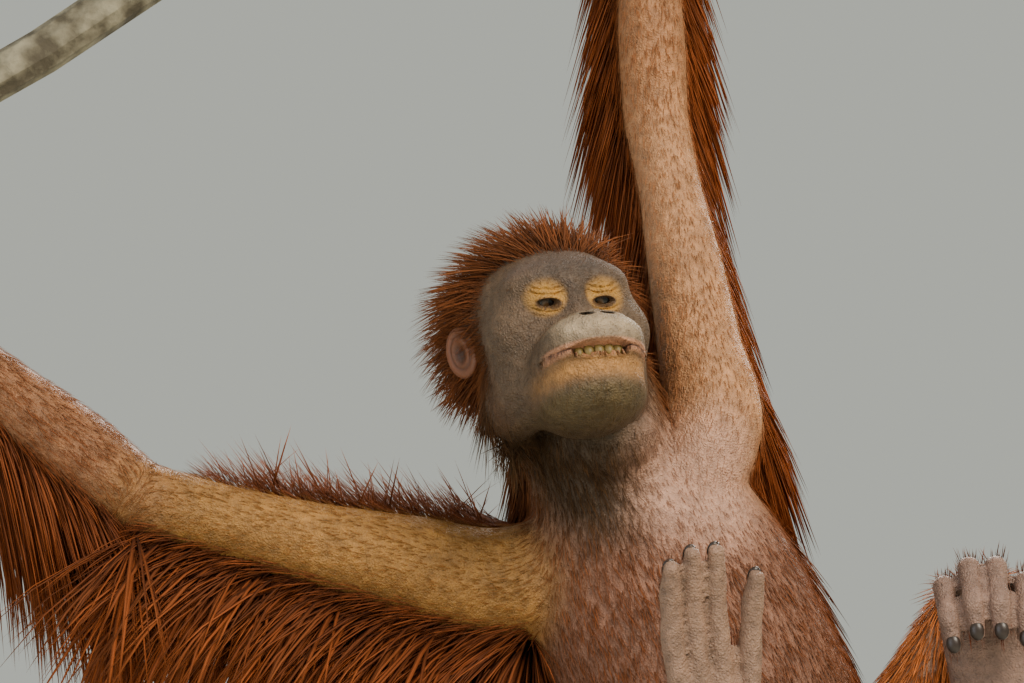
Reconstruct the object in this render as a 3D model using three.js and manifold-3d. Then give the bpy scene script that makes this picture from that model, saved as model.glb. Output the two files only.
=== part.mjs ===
// A young orangutan, life size, hanging by both hands from a sloping branch with its legs drawn up,
// held by two short rods on a flat display base. Units are millimetres, +Z is up, the animal faces -Y
// and its own left side is towards +X. The origin is the middle of the base's underside.
import * as THREE from "three";
import { mergeVertices } from "three/addons/utils/BufferGeometryUtils.js";
import Module from "manifold-3d";

const wasm = await Module();
wasm.setup();

const at = (x, y, z) => new THREE.Vector3(x, y, z);
const UP = at(0, 0, 1);
const DOWN = at(0, 0, -1);
const FRONT = at(0, -1, 0);
const along = (a, b, t) => a.clone().lerp(b, t);

// Driving sizes

const GAP = 0.35; // clearance between touching pieces
const SHORTEST = 0.4; // edges shorter than this are drawn together
const SUNK = 7; // how deep a lock's root sits in the flesh
const BASE = { width: 470, depth: 400, thick: 22, corner: 60, bevel: 3 };
const ROD = { radius: 8, sides: 14 };

// Joints, from a trunk 263 long, upper arms 235, forearms 240, thighs 186 and shanks 155
const CHEST = at(-47, 24, 569);
const BELLY = at(-8, 16, 482);
const PELVIS = at(30, 26, 392);
const HEAD = at(-116, -49, 723);
const SHOULDER = { right: at(-146, 18, 571), left: at(-14, 8, 669) };
const ELBOW = { right: at(-374, -6, 621), left: at(-45, 71, 896) };
const WRIST = { right: at(-548, -8, 760), left: at(-54, 60, 1128) };
const HIP = { right: at(3, 20, 374), left: at(62, 24, 392) };
const KNEE = { right: at(-153, -75, 359), left: at(155, 33, 556) };
const ANKLE = { right: at(-22, -152, 388), left: at(153, -57, 443) };

// Head turned to its left, tipped back and rolled, in degrees
const HEAD_TURN = 15.5;
const HEAD_LIFT = 9.5;
const HEAD_ROLL = 7;

const COLOUR = {
  coat: [0x8a4a22, 0.85],
  bare: [0x6b5646, 0.6],
  face: [0x75685c, 0.55],
  ear: [0x8c5a32, 0.6],
  eye: [0x2c2016, 0.15],
  bark: [0x8d8a72, 0.9],
  base: [0x3b3a38, 0.6],
  steel: [0x8f9296, 0.35],
};

// Solids

const group = new THREE.Group();

function solid(geometry) {
  const bare = geometry.clone();
  bare.deleteAttribute("normal");
  bare.deleteAttribute("uv");
  const merged = mergeVertices(bare, 1e-3);
  return new wasm.Manifold(
    new wasm.Mesh({
      numProp: 3,
      vertProperties: merged.attributes.position.array,
      triVerts: new Uint32Array(merged.index.array),
    }),
  );
}

const join = (pieces) => pieces.reduce((whole, piece) => whole.add(piece));
const cut = (whole, cutters) =>
  cutters.reduce((left, cutter) => left.subtract(cutter), whole);

function largest(whole) {
  const bodies = whole.decompose();
  return bodies.reduce((best, body) =>
    body.volume() > best.volume() ? body : best,
  );
}

// Joins and cuts leave slivers. Each edge shorter than SHORTEST is drawn together to its middle where
// that neither turns a face over nor pinches the surface.
function withoutSlivers({ vertProperties, triVerts }) {
  const points = [];
  for (let i = 0; i < vertProperties.length; i += 3)
    points.push(at(...vertProperties.subarray(i, i + 3)));
  const faces = [];
  for (let i = 0; i < triVerts.length; i += 3) faces.push([...triVerts.subarray(i, i + 3)]);
  const around = points.map(() => new Set());
  faces.forEach((face, f) => face.forEach((v) => around[v].add(f)));
  const normal = (a, b, c) => b.clone().sub(a).cross(c.clone().sub(a));
  const ringOf = (v) => new Set([...around[v]].flatMap((f) => faces[f]).filter((w) => w !== v));
  const turnsOver = (v, gone, spot) =>
    [...around[v]].some((f) => {
      if (faces[f].includes(gone)) return false;
      const before = normal(...faces[f].map((w) => points[w]));
      const after = normal(...faces[f].map((w) => (w === v ? spot : points[w])));
      return after.dot(before) < 0.3 * after.length() * before.length() || after.length() < 1e-4;
    });
  for (let pass = 0; pass < 6; pass++) {
    let drawn = 0;
    for (let f = 0; f < faces.length; f++) {
      for (let side = 0; faces[f] && side < 3; side++) {
        const [a, b] = [faces[f][side], faces[f][(side + 1) % 3]];
        const length = points[a].distanceTo(points[b]);
        if (length > SHORTEST) continue;
        const ringB = ringOf(b);
        if ([...ringOf(a)].filter((v) => ringB.has(v)).length !== 2) continue;
        const middle = along(points[a], points[b], 0.5);
        if (length > 0.02 && (turnsOver(a, b, middle) || turnsOver(b, a, middle))) continue;
        points[a] = middle;
        for (const g of [...around[b]]) {
          if (faces[g].includes(a)) {
            for (const v of faces[g]) around[v].delete(g);
            faces[g] = null;
          } else {
            faces[g] = faces[g].map((v) => (v === b ? a : v));
            around[a].add(g);
          }
        }
        around[b].clear();
        drawn += 1;
      }
    }
    if (!drawn) break;
  }
  const left = new Map();
  const index = faces.filter(Boolean).flatMap((face) =>
    face.map((v) => {
      if (!left.has(v)) left.set(v, left.size);
      return left.get(v);
    }),
  );
  const position = [...left.keys()].flatMap((v) => points[v].toArray());
  return { position, index };
}

function surface(position, index) {
  return new THREE.BufferGeometry()
    .setAttribute("position", new THREE.Float32BufferAttribute(position, 3))
    .setIndex([...index]);
}

function addNode(name, whole, [colour, roughness], metalness = 0) {
  const { position, index } = withoutSlivers(largest(whole).getMesh());
  const { vertProperties, triVerts } = largest(solid(surface(position, index))).getMesh();
  const geometry = surface(vertProperties, triVerts);
  geometry.computeVertexNormals();
  const mesh = new THREE.Mesh(
    geometry,
    new THREE.MeshStandardMaterial({ color: colour, roughness, metalness }),
  );
  mesh.name = name;
  group.add(mesh);
}

// A smooth run through a list of [point, half width, half depth] stations. place(t, angle, grow) is a
// point of its skin: angle 0 is the side of the section, a quarter turn is its front.
function run(stations, front) {
  const path = new THREE.CatmullRomCurve3(
    stations.map((s) => s[0]),
    false,
    "centripetal",
  );
  const sizes = new THREE.CatmullRomCurve3(
    stations.map((s, i) => at(s[1], s[2], i * 40)),
    false,
    "centripetal",
  );
  const section = (t) => {
    const along = path.getTangent(t).normalize();
    const side = front.clone().cross(along).normalize();
    const face = along.clone().cross(side);
    const size = sizes.getPoint(t);
    return { centre: path.getPoint(t), along, side, face, w: size.x, d: size.y };
  };
  const outward = (s, angle) =>
    s.side
      .clone()
      .multiplyScalar(Math.cos(angle))
      .addScaledVector(s.face, Math.sin(angle));
  const place = (t, angle, grow = 0, tuck = 1, slide = 0) => {
    const s = section(t);
    return s.centre
      .clone()
      .addScaledVector(s.side, (s.w + grow) * tuck * Math.cos(angle))
      .addScaledVector(s.face, (s.d + grow) * tuck * Math.sin(angle))
      .addScaledVector(s.along, slide);
  };
  return { path, section, outward, place, length: path.getLength() };
}

// A closed body round a run: a sphere whose rows are laid along it, the first and last ones as caps.
function flesh(along, sides, rows, grow = 0, capRows = 2, blunt = 0.7) {
  const total = rows + 2 * capRows;
  const ball = new THREE.SphereGeometry(1, sides, total);
  const spot = ball.attributes.position;
  for (let i = 0; i < spot.count; i++) {
    const row = Math.floor(i / (sides + 1));
    const angle = Math.atan2(spot.getZ(i), spot.getX(i));
    const inCap = Math.max(capRows - row, row - (total - capRows), 0) / capRows;
    const t = Math.min(Math.max((row - capRows) / rows, 0), 1);
    const tuck = Math.cos((inCap * Math.PI) / 2);
    const s = along.section(t);
    const reach = blunt * Math.min(s.w, s.d) + grow;
    const slide = Math.sin((inCap * Math.PI) / 2) * reach * (t === 0 ? -1 : 1);
    const p = along.place(t, angle, grow, inCap === 1 ? 0 : tuck, slide);
    spot.setXYZ(i, p.x, p.y, p.z);
  }
  return solid(ball);
}

// The same with flat sawn ends
function stick(along, sides, rows, grow = 0) {
  const post = new THREE.CylinderGeometry(1, 1, 1, sides, rows);
  const spot = post.attributes.position;
  for (let i = 0; i < spot.count; i++) {
    const t = 0.5 - spot.getY(i);
    const radius = Math.hypot(spot.getX(i), spot.getZ(i)) > 0.5 ? 1 : 0;
    const angle = Math.atan2(spot.getZ(i), spot.getX(i));
    const p = along.place(t, angle, grow, radius, 0);
    spot.setXYZ(i, p.x, p.y, p.z);
  }
  return solid(post);
}

function ellipsoid(centre, radii, sides = 16, rows = 10, turn = null, grow = 0) {
  const ball = new THREE.SphereGeometry(1, sides, rows);
  ball.scale(radii[0] + grow, radii[1] + grow, radii[2] + grow);
  if (turn) ball.applyMatrix4(turn);
  ball.translate(centre.x, centre.y, centre.z);
  return solid(ball);
}

// Trunk and neck

const trunk = run(
  [
    [at(-80, 14, 642), 52, 48],
    [at(-66, 18, 612), 76, 56],
    [CHEST, 88, 64],
    [at(-28, 20, 528), 88, 68],
    [BELLY, 86, 72],
    [at(14, 18, 432), 78, 66],
    [PELVIS, 66, 56],
    [at(37, 34, 368), 52, 46],
  ],
  FRONT,
);
const neck = run(
  [
    [at(-74, 20, 622), 58, 54],
    [at(-86, -4, 652), 50, 50],
    [at(-98, -22, 684), 47, 50],
    [at(-104, -30, 706), 42, 44],
  ],
  FRONT,
);
const THROAT = [at(-86, -42, 654), [38, 30, 30]];
const neckSolid = (grow) =>
  join([flesh(neck, 18, 6, grow), ellipsoid(...THROAT, 14, 8, null, grow)]);

// Arms and legs

const arm = (side) =>
  run(
    side === "right"
      ? [
          [at(-112, 20, 576), 36, 40],
          [SHOULDER.right, 34, 38],
          [at(-205, 13, 582), 31, 34],
          [at(-265, 7, 594), 27, 29],
          [at(-330, 0, 610), 23, 25],
          [ELBOW.right, 24, 25],
        ]
      : [
          [at(-28, 10, 636), 36, 40],
          [SHOULDER.left, 35, 38],
          [at(-20, 22, 722), 30, 33],
          [at(-28, 38, 782), 27, 29],
          [at(-38, 58, 850), 23, 25],
          [ELBOW.left, 24, 25],
        ],
    side === "right" ? UP : FRONT,
  );
const forearm = (side) =>
  run(
    [
      [ELBOW[side], 24, 25],
      [along(ELBOW[side], WRIST[side], 0.22), 25, 27],
      [along(ELBOW[side], WRIST[side], 0.5), 21, 23],
      [along(ELBOW[side], WRIST[side], 0.78), 16, 19],
      [WRIST[side], 14, 19],
    ],
    side === "right" ? UP : FRONT,
  );
const thigh = (side) =>
  run(
    [
      [along(HIP[side], KNEE[side], -0.05), 44, 46],
      [along(HIP[side], KNEE[side], 0.3), 42, 44],
      [along(HIP[side], KNEE[side], 0.7), 33, 34],
      [KNEE[side], 29, 30],
    ],
    side === "right" ? UP : at(1, 0, 0),
  );
const shank = (side) =>
  run(
    [
      [KNEE[side], 28, 29],
      [along(KNEE[side], ANKLE[side], 0.3), 27, 29],
      [along(KNEE[side], ANKLE[side], 0.7), 20, 22],
      [ANKLE[side], 17, 20],
    ],
    side === "right" ? UP : at(1, 0, 0),
  );

// Hands and feet

// The axis of a digit whose bones bend in turn towards the palm
function digitLine(root, reach, palm, bones, bends) {
  const hinge = reach.clone().cross(palm).normalize();
  const line = [root.clone()];
  const heading = reach.clone().normalize();
  bones.forEach((bone, i) => {
    heading.applyAxisAngle(hinge, THREE.MathUtils.degToRad(bends[i]));
    line.push(line.at(-1).clone().addScaledVector(heading, bone));
  });
  return { line, tipHeading: heading, hinge };
}

function digit(root, reach, palm, bones, bends, radius, nailed) {
  const { line, tipHeading, hinge } = digitLine(root, reach, palm, bones, bends);
  const stations = [];
  line.forEach((joint, i) => {
    const last = i === line.length - 1;
    const thick = radius * (1 - 0.06 * i);
    if (i > 0) {
      const mid = along(line[i - 1], joint, last ? 0.45 : 0.5);
      stations.push([mid, thick * 0.93, thick * 0.9]);
    }
    stations.push([joint, thick * (last ? 0.8 : 1), thick * (last ? 0.7 : 0.98)]);
  });
  const body = flesh(run(stations, hinge), 5, 5, 0, 1, 0.8);
  if (!nailed) return body;
  const back = tipHeading.clone().cross(hinge).normalize();
  const turn = new THREE.Matrix4().makeBasis(hinge.clone().negate(), tipHeading, back);
  const nailAt = line
    .at(-1)
    .clone()
    .addScaledVector(tipHeading, -1.5)
    .addScaledVector(back, radius * 0.42);
  const nail = ellipsoid(nailAt, [radius * 0.62, radius * 0.85, radius * 0.4], 4, 4, turn);
  return join([body, nail]);
}

// A hand or foot. reach points along the palm, palm out of it, and thumbSide is the side of the thumb
// or great toe.
function grasper({ root, reach, palm, size, digits, thumb, nailed }, grow) {
  const side = reach.clone().cross(palm).normalize().multiplyScalar(thumb.side);
  const from = (r, s, p) =>
    root
      .clone()
      .addScaledVector(reach, r)
      .addScaledVector(side, s)
      .addScaledVector(palm, p);
  const pad = flesh(
    run(
      size.map(([r, s, p, w, d]) => [from(r, s, p), w, d]),
      palm,
    ),
    10,
    4,
    grow,
    2,
    0.6,
  );
  const pieces = [pad];
  digits.spots.forEach(([r, s], i) => {
    const lean = reach.clone().addScaledVector(side, digits.fan[i]).normalize();
    pieces.push(
      digit(from(r, s, digits.lift), lean, palm, digits.bones[i], digits.bends, digits.radius + grow, nailed),
    );
  });
  const lean = reach
    .clone()
    .multiplyScalar(thumb.lean[0])
    .addScaledVector(side, thumb.lean[1])
    .addScaledVector(palm, thumb.lean[2])
    .normalize();
  const facing = palm.clone().addScaledVector(side, -0.8).normalize();
  facing.addScaledVector(lean, -facing.dot(lean)).normalize();
  pieces.push(
    digit(from(...thumb.spot), lean, facing, thumb.bones, thumb.bends, thumb.radius + grow, nailed),
  );
  return join(pieces);
}

const FINGER_BONES = [
  [39, 27, 17],
  [41, 29, 18],
  [41, 29, 18],
  [38, 25, 16],
];
const TOE_BONES = [
  [40, 26, 16],
  [44, 29, 17],
  [43, 29, 17],
  [38, 25, 15],
];

// The branch runs through both hands, and each hand hooks over it from behind with its palm forward.
// A finger's joints lie on a circle round the branch, and the palm on a tangent of that circle.
const BRANCH_RADIUS = 14;
const FINGER_RADIUS = 7.4;
const PALM_REACH = 64;
const hooked = Math.hypot(BRANCH_RADIUS + FINGER_RADIUS, FINGER_BONES[1][0] / 2);
const branchAlong = WRIST.left.clone().sub(WRIST.right).normalize();
const palmFacing = FRONT.clone()
  .addScaledVector(branchAlong, -FRONT.dot(branchAlong))
  .normalize();
const palmUp = palmFacing.clone().cross(branchAlong).normalize();
const grip = (side) =>
  WRIST[side].clone().addScaledVector(palmUp, PALM_REACH).addScaledVector(palmFacing, hooked);
const turnOf = (bone) => THREE.MathUtils.radToDeg(2 * Math.asin(bone / 2 / hooked));

const hand = (side, grow) => {
  const palm = palmFacing;
  const reach = palmUp;
  const [first, second, third] = FINGER_BONES[1].map(turnOf);
  const root = WRIST[side];
  return grasper({
    root,
    reach,
    palm,
    size: [
      [-4, 0, 0, 17, 14],
      [22, 0, 1, 22, 13],
      [44, 0, 2, 26, 13],
      [62, 0, 2, 28, 10],
    ],
    digits: {
      spots: [
        [PALM_REACH, 21],
        [PALM_REACH, 7],
        [PALM_REACH, -7],
        [PALM_REACH, -21],
      ],
      fan: [0, 0, 0, 0],
      lift: 0,
      bones: FINGER_BONES,
      bends: [first / 2, (first + second) / 2, (second + third) / 2],
      radius: FINGER_RADIUS,
    },
    thumb: {
      side: side === "right" ? 1 : -1,
      spot: [20, 20, 3],
      lean: [0.66, 0.6, 0.3],
      bones: [20, 15],
      bends: [10, 18],
      radius: 7,
    },
  }, grow);
};

const foot = (side, grow) => {
  const right = side === "right";
  const reach = right ? at(-0.05, -0.2, 0.98).normalize() : at(-0.1, -0.32, 0.94).normalize();
  const palm = right ? at(0.3, -0.93, 0) : at(-0.1, -0.95, -0.1);
  palm.addScaledVector(reach, -palm.dot(reach)).normalize();
  const root = ANKLE[side].clone().addScaledVector(palm, 12);
  return grasper({
    root,
    reach,
    palm,
    size: [
      [-20, 0, 2, 15, 14],
      [0, 0, 1, 20, 17],
      [30, 0, 0, 24, 14],
      [58, 0, 0, 26, 12],
      [80, 0, 0, 28, 11],
    ],
    digits: {
      spots: right
        ? [
            [69, 19],
            [77, 4],
            [77, -10],
            [80, -24],
          ]
        : [
            [76, 21],
            [82, 7],
            [82, -7],
            [76, -21],
          ],
      fan: right ? [0.02, -0.09, -0.1, -0.09] : [0.06, 0.02, -0.02, -0.06],
      lift: 1,
      bones: TOE_BONES,
      bends: right ? [4, 10, 12] : [12, 118, 34],
      radius: 7.5,
    },
    nailed: true,
    thumb: {
      side: right ? 1 : -1,
      spot: [6, 19, 4],
      lean: [0.55, 0.75, 0.3],
      bones: [26, 18],
      bends: [8, 20],
      radius: 8,
    },
  }, grow);
};

// Branch, base and rods

const BRANCH_OVERHANG = 95;
const GRIP = { right: grip("right"), left: grip("left") };
const branch = run(
  [
    [GRIP.right.clone().addScaledVector(branchAlong, -BRANCH_OVERHANG), 17, 17],
    [GRIP.right.clone().addScaledVector(branchAlong, -30), BRANCH_RADIUS, BRANCH_RADIUS],
    [GRIP.right.clone().addScaledVector(branchAlong, 30), BRANCH_RADIUS, BRANCH_RADIUS],
    [along(GRIP.right, GRIP.left, 0.35).add(at(0, 4, -7)), 15, 15],
    [along(GRIP.right, GRIP.left, 0.66).add(at(0, -3, 6)), 15, 15],
    [GRIP.left.clone().addScaledVector(branchAlong, -30), BRANCH_RADIUS, BRANCH_RADIUS],
    [GRIP.left.clone().addScaledVector(branchAlong, 30), BRANCH_RADIUS, BRANCH_RADIUS],
    [GRIP.left.clone().addScaledVector(branchAlong, BRANCH_OVERHANG), 12, 12],
  ],
  FRONT,
);
const branchSolid = (grow) => {
  const knot = along(GRIP.right, GRIP.left, 0.46).add(at(-4, -2, 4));
  const stub = run(
    [
      [knot, 10, 10],
      [knot.clone().add(at(10, -22, 14)), 9, 9],
      [knot.clone().add(at(14, -40, 26)), 8, 8],
    ],
    UP,
  );
  return join([stick(branch, 10, 15, grow), stick(stub, 7, 2, grow)]);
};

function baseSolid() {
  const { width, depth, thick, corner, bevel } = BASE;
  const w = width / 2 - bevel;
  const d = depth / 2 - bevel;
  const outline = new THREE.Shape()
    .moveTo(-w + corner, -d)
    .lineTo(w - corner, -d)
    .absarc(w - corner, -d + corner, corner, -Math.PI / 2, 0)
    .lineTo(w, d - corner)
    .absarc(w - corner, d - corner, corner, 0, Math.PI / 2)
    .lineTo(-w + corner, d)
    .absarc(-w + corner, d - corner, corner, Math.PI / 2, Math.PI)
    .lineTo(-w, -d + corner)
    .absarc(-w + corner, -d + corner, corner, Math.PI, 1.5 * Math.PI);
  const slab = new THREE.ExtrudeGeometry(outline, {
    depth: thick - 2 * bevel,
    bevelThickness: bevel,
    bevelSize: bevel,
    bevelSegments: 1,
    curveSegments: 4,
  });
  slab.translate(0, 0, bevel);
  return solid(slab);
}

const RODS = [
  ["stand_rod_right", 14, 34],
  ["stand_rod_left", 58, 34],
];
function rodSolid(x, y, grow = 0) {
  const from = BASE.thick + GAP - grow;
  const to = 380;
  const post = new THREE.CylinderGeometry(
    ROD.radius + grow,
    ROD.radius + grow,
    to - from,
    ROD.sides,
  );
  post.rotateX(Math.PI / 2);
  post.translate(x, y, (from + to) / 2);
  return solid(post);
}

// Head. Its own frame has the face towards -Y and the crown towards +Z.

const headMatrix = new THREE.Matrix4()
  .makeTranslation(HEAD.x, HEAD.y, HEAD.z)
  .multiply(new THREE.Matrix4().makeRotationZ(THREE.MathUtils.degToRad(HEAD_TURN)))
  .multiply(new THREE.Matrix4().makeRotationX(THREE.MathUtils.degToRad(-HEAD_LIFT)))
  .multiply(new THREE.Matrix4().makeRotationY(THREE.MathUtils.degToRad(-HEAD_ROLL)));

const EYE = { x: 17.7, y: -41, z: -4, radius: 10, lid: 12.6, lookDown: 30 };
const EAR = { x: 57, y: 10, z: -14, tall: 14, deep: 10 };

// Distance to an ellipsoid, and soft joining and carving of such distances
function toEllipsoid(p, c, r) {
  const x = (p.x - c[0]) / r[0];
  const y = (p.y - c[1]) / r[1];
  const z = (p.z - c[2]) / r[2];
  const near = Math.hypot(x, y, z);
  const slope = Math.hypot(x / r[0], y / r[1], z / r[2]);
  return slope < 1e-9 ? -Math.min(...r) : (near * (near - 1)) / slope;
}
function softJoin(a, b, k) {
  const h = Math.max(k - Math.abs(a - b), 0) / k;
  return Math.min(a, b) - (h * h * k) / 4;
}
const softCarve = (a, b, k) => -softJoin(-a, b, k);

// Masses of the head as [centre, radii, softness], those off the middle mirrored
const HEAD_MASSES = [
  [[0, 14, 2], [54, 66, 47], 0],
  [[0, -18, -18], [46, 34, 42], 18],
  [[0, -50, -50], [35, 38, 25], 12],
  [[0, -70, -43], [29, 21, 15], 10],
  [[0, -46, -73], [33, 37, 20], 12],
  [[0, -50, -10], [6, 8, 15], 8],
  [[0, -71, -25], [12, 6, 4], 6],
  [[18, -40, 8], [18, 11, 9], 14],
  [[36, -28, -22], [15, 16, 16], 12],
  [[32, -4, -52], [18, 32, 26], 16],
];
const EYE_HOLLOW = [[18, -66, -6], [13, 13, 9], 12];
function headField(p) {
  const q = at(Math.abs(p.x), p.y, p.z);
  let d = 1e3;
  for (const [c, r, k] of HEAD_MASSES) {
    const away = toEllipsoid(q, c, r);
    d = k ? softJoin(d, away, k) : Math.min(d, away);
  }
  return softCarve(d, toEllipsoid(q, EYE_HOLLOW[0], EYE_HOLLOW[1]), EYE_HOLLOW[2]);
}
function headSlope(p) {
  const step = 0.4;
  const change = (axis) => {
    const [a, b] = [p.clone(), p.clone()];
    a[axis] += step;
    b[axis] -= step;
    return (headField(a) - headField(b)) / (2 * step);
  };
  return at(change("x"), change("y"), change("z"));
}
function ontoHead(p, grow) {
  const slope = headSlope(p);
  const move = (headField(p) - grow) / Math.max(slope.lengthSq(), 0.2);
  p.addScaledVector(slope, -THREE.MathUtils.clamp(move, -6, 6));
}

const MUZZLE_AIM = at(0, -1, -0.3).normalize();
const SETTLING = 5;

// A sphere with its pole at the mouth and most of its rows on the face, pulled out along its rays to
// the head's surface. Its points are then eased along the surface a few times.
function headSkin(sides, rows, grow = 0) {
  const ball = new THREE.SphereGeometry(1, sides, rows);
  const turn = new THREE.Quaternion().setFromUnitVectors(UP, MUZZLE_AIM);
  const heart = at(0, -14, -20);
  const start = (row, column) => {
    const polar = Math.PI * Math.pow(row / rows, 1.15);
    const around = (2 * Math.PI * column) / sides;
    const ring = Math.sin(polar);
    const ray = at(Math.cos(around) * ring, Math.sin(around) * ring, Math.cos(polar));
    ray.applyQuaternion(turn);
    let reach = 10;
    for (let step = 0; step < 60; step++)
      reach += Math.min((grow - headField(heart.clone().addScaledVector(ray, reach))) * 0.6, 8);
    return ray.multiplyScalar(reach).add(heart);
  };
  const grid = [];
  for (let row = 0; row <= rows; row++) {
    const pole = row === 0 || row === rows;
    grid.push(Array.from({ length: pole ? 1 : sides }, (_, c) => start(row, c)));
  }
  const spotAt = (row, c) => grid[row][grid[row].length === 1 ? 0 : (c + sides) % sides];
  for (let step = 0; step < SETTLING; step++) {
    const eased = grid.map((ring, row) =>
      ring.map((p, c) => {
        if (ring.length === 1) return p.clone();
        const mean = at(0, 0, 0);
        for (const q of [spotAt(row - 1, c), spotAt(row + 1, c), spotAt(row, c - 1), spotAt(row, c + 1)])
          mean.addScaledVector(q, 0.25);
        return p.clone().lerp(mean, 0.3);
      }),
    );
    eased.forEach((ring, row) => ring.forEach((p, c) => grid[row][c].copy(p)));
    for (const ring of grid) for (const p of ring) ontoHead(p, grow);
  }
  const spot = ball.attributes.position;
  for (let i = 0; i < spot.count; i++) {
    const p = spotAt(Math.floor(i / (sides + 1)), i % (sides + 1));
    spot.setXYZ(i, p.x, p.y, p.z);
  }
  return solid(ball);
}

// The point of the face straight in front of (x, z)
function faceAt(x, z, lift = 0) {
  let y = -125;
  for (let step = 0; step < 60; step++) y += Math.max(headField(at(x, y, z)), 0.02) * 0.8;
  return at(x, y - lift, z);
}

const MOUTH = { half: 32.5, middle: -54, corner: -53, open: 1.5, deep: 13 };
const mouthSpot = (t, rise = 0, lift = 0) =>
  faceAt(MOUTH.half * t, MOUTH.middle + (MOUTH.corner - MOUTH.middle) * t * t + rise, lift);
const ACROSS = [-1, -0.8, -0.5, -0.2, 0.2, 0.5, 0.8, 1];
const openAt = (t) => MOUTH.open * Math.max(1 - t * t, 0);

const lip = (way, thick) =>
  flesh(
    run(
      ACROSS.map((t) => [
        mouthSpot(t, way * (openAt(t) + thick * 0.75), -1.2),
        thick * (1 - 0.45 * t * t),
        thick * 1.05,
      ]),
      FRONT,
    ),
    6,
    10,
    0,
    1,
  );
const mouthGap = () =>
  flesh(
    run(
      ACROSS.map((t) => [mouthSpot(t, 0, -MOUTH.deep / 2 + 3), openAt(t) + 0.5, MOUTH.deep / 2 + 1.5]),
      FRONT,
    ),
    7,
    10,
    0,
    1,
  );
const TEETH = [-0.3, -0.1, 0.1, 0.3];
const tooth = (t) => {
  const p = mouthSpot(t, -openAt(t) - 1.6, -6.5);
  return ellipsoid(p, [2.7, 2.1, 4.4], 6, 4);
};

function lidsAndEye(s) {
  const centre = at(s * EYE.x, EYE.y, EYE.z);
  const look = new THREE.Matrix4().makeRotationX(THREE.MathUtils.degToRad(EYE.lookDown));
  const aim = FRONT.clone().applyMatrix4(look);
  const slitAt = centre.clone().addScaledVector(aim, EYE.lid);
  const rim = new THREE.TorusGeometry(1, 0.2, 3, 12);
  rim.rotateX(Math.PI / 2);
  rim.scale(8, 7, 3.8);
  const spot = rim.attributes.position;
  for (let i = 0; i < spot.count; i++) {
    const p = at(spot.getX(i), 0, spot.getZ(i)).applyMatrix4(look);
    p.addScaledVector(aim, EYE.lid).setLength(EYE.lid - spot.getY(i) * 0.8);
    p.add(centre);
    spot.setXYZ(i, p.x, p.y, p.z);
  }
  return {
    dome: ellipsoid(centre, [EYE.lid, EYE.lid, EYE.lid], 14, 8),
    rim: solid(rim),
    slit: ellipsoid(slitAt, [7.6, 5, 3.1], 12, 6, look),
    centre,
  };
}
const eyeball = (s, grow = 0) => {
  const r = EYE.radius + grow;
  return ellipsoid(at(s * EYE.x, EYE.y, EYE.z), [r, r, r], 12, 8).transform(headTurned);
};
const headTurned = [...headMatrix.elements];

function headSolid(grow = 0) {
  const eyes = [-1, 1].map(lidsAndEye);
  const skin = headSkin(36, 23, grow);
  if (grow) return join([skin, ...eyes.map((eye) => eye.dome)]).transform(headTurned);
  const nostrils = [-1, 1].map((s) =>
    ellipsoid(
      faceAt(s * 6.5, -28.5),
      [4.6, 6, 2.1],
      8,
      4,
      new THREE.Matrix4().makeRotationY(s * 0.25),
    ),
  );
  let whole = join([skin, ...eyes.map((eye) => eye.dome), lip(1, 3.4), lip(-1, 2.6)]);
  whole = cut(whole, [mouthGap(), ...nostrils, ...eyes.map((eye) => eye.slit)]);
  whole = join([whole, ...TEETH.map(tooth), ...eyes.map((eye) => eye.rim)]).transform(headTurned);
  return cut(whole, [eyeball(-1, GAP), eyeball(1, GAP)]);
}

// An ear: a small cup with a rolled rim, standing off the side of the head
function ear(s, grow = 0) {
  const rim = new THREE.TorusGeometry(1, 0.2, 4, 12);
  rim.scale(EAR.deep + grow, EAR.tall + grow, 12 + 5 * grow);
  rim.applyMatrix4(new THREE.Matrix4().makeBasis(at(0, 1, 0), UP, at(1, 0, 0)));
  const cup = new THREE.SphereGeometry(1, 10, 6);
  cup.scale(3.6 + grow, EAR.deep + grow, EAR.tall + grow);
  const bowl = new THREE.SphereGeometry(1, 8, 5);
  bowl.scale(4, EAR.deep * 0.72, EAR.tall * 0.74);
  bowl.translate(s * 5, 0, 0);
  const lean = new THREE.Matrix4()
    .makeTranslation(s * EAR.x, EAR.y, EAR.z)
    .multiply(new THREE.Matrix4().makeRotationZ(s * -0.6))
    .multiply(new THREE.Matrix4().makeRotationY(s * 0.12));
  for (const piece of [rim, cup, bowl]) piece.applyMatrix4(lean);
  return join([solid(rim), solid(cup)]).subtract(solid(bowl)).transform(headTurned);
}

// Locks of the coat. Each is a flat tapered blade that leaves the flesh, bends over along the lie of
// the coat and hangs at its tip.
let seed = 7;
const chance = (low, high) => {
  seed = (seed * 16807) % 2147483647;
  return low + ((high - low) * seed) / 2147483647;
};

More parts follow.
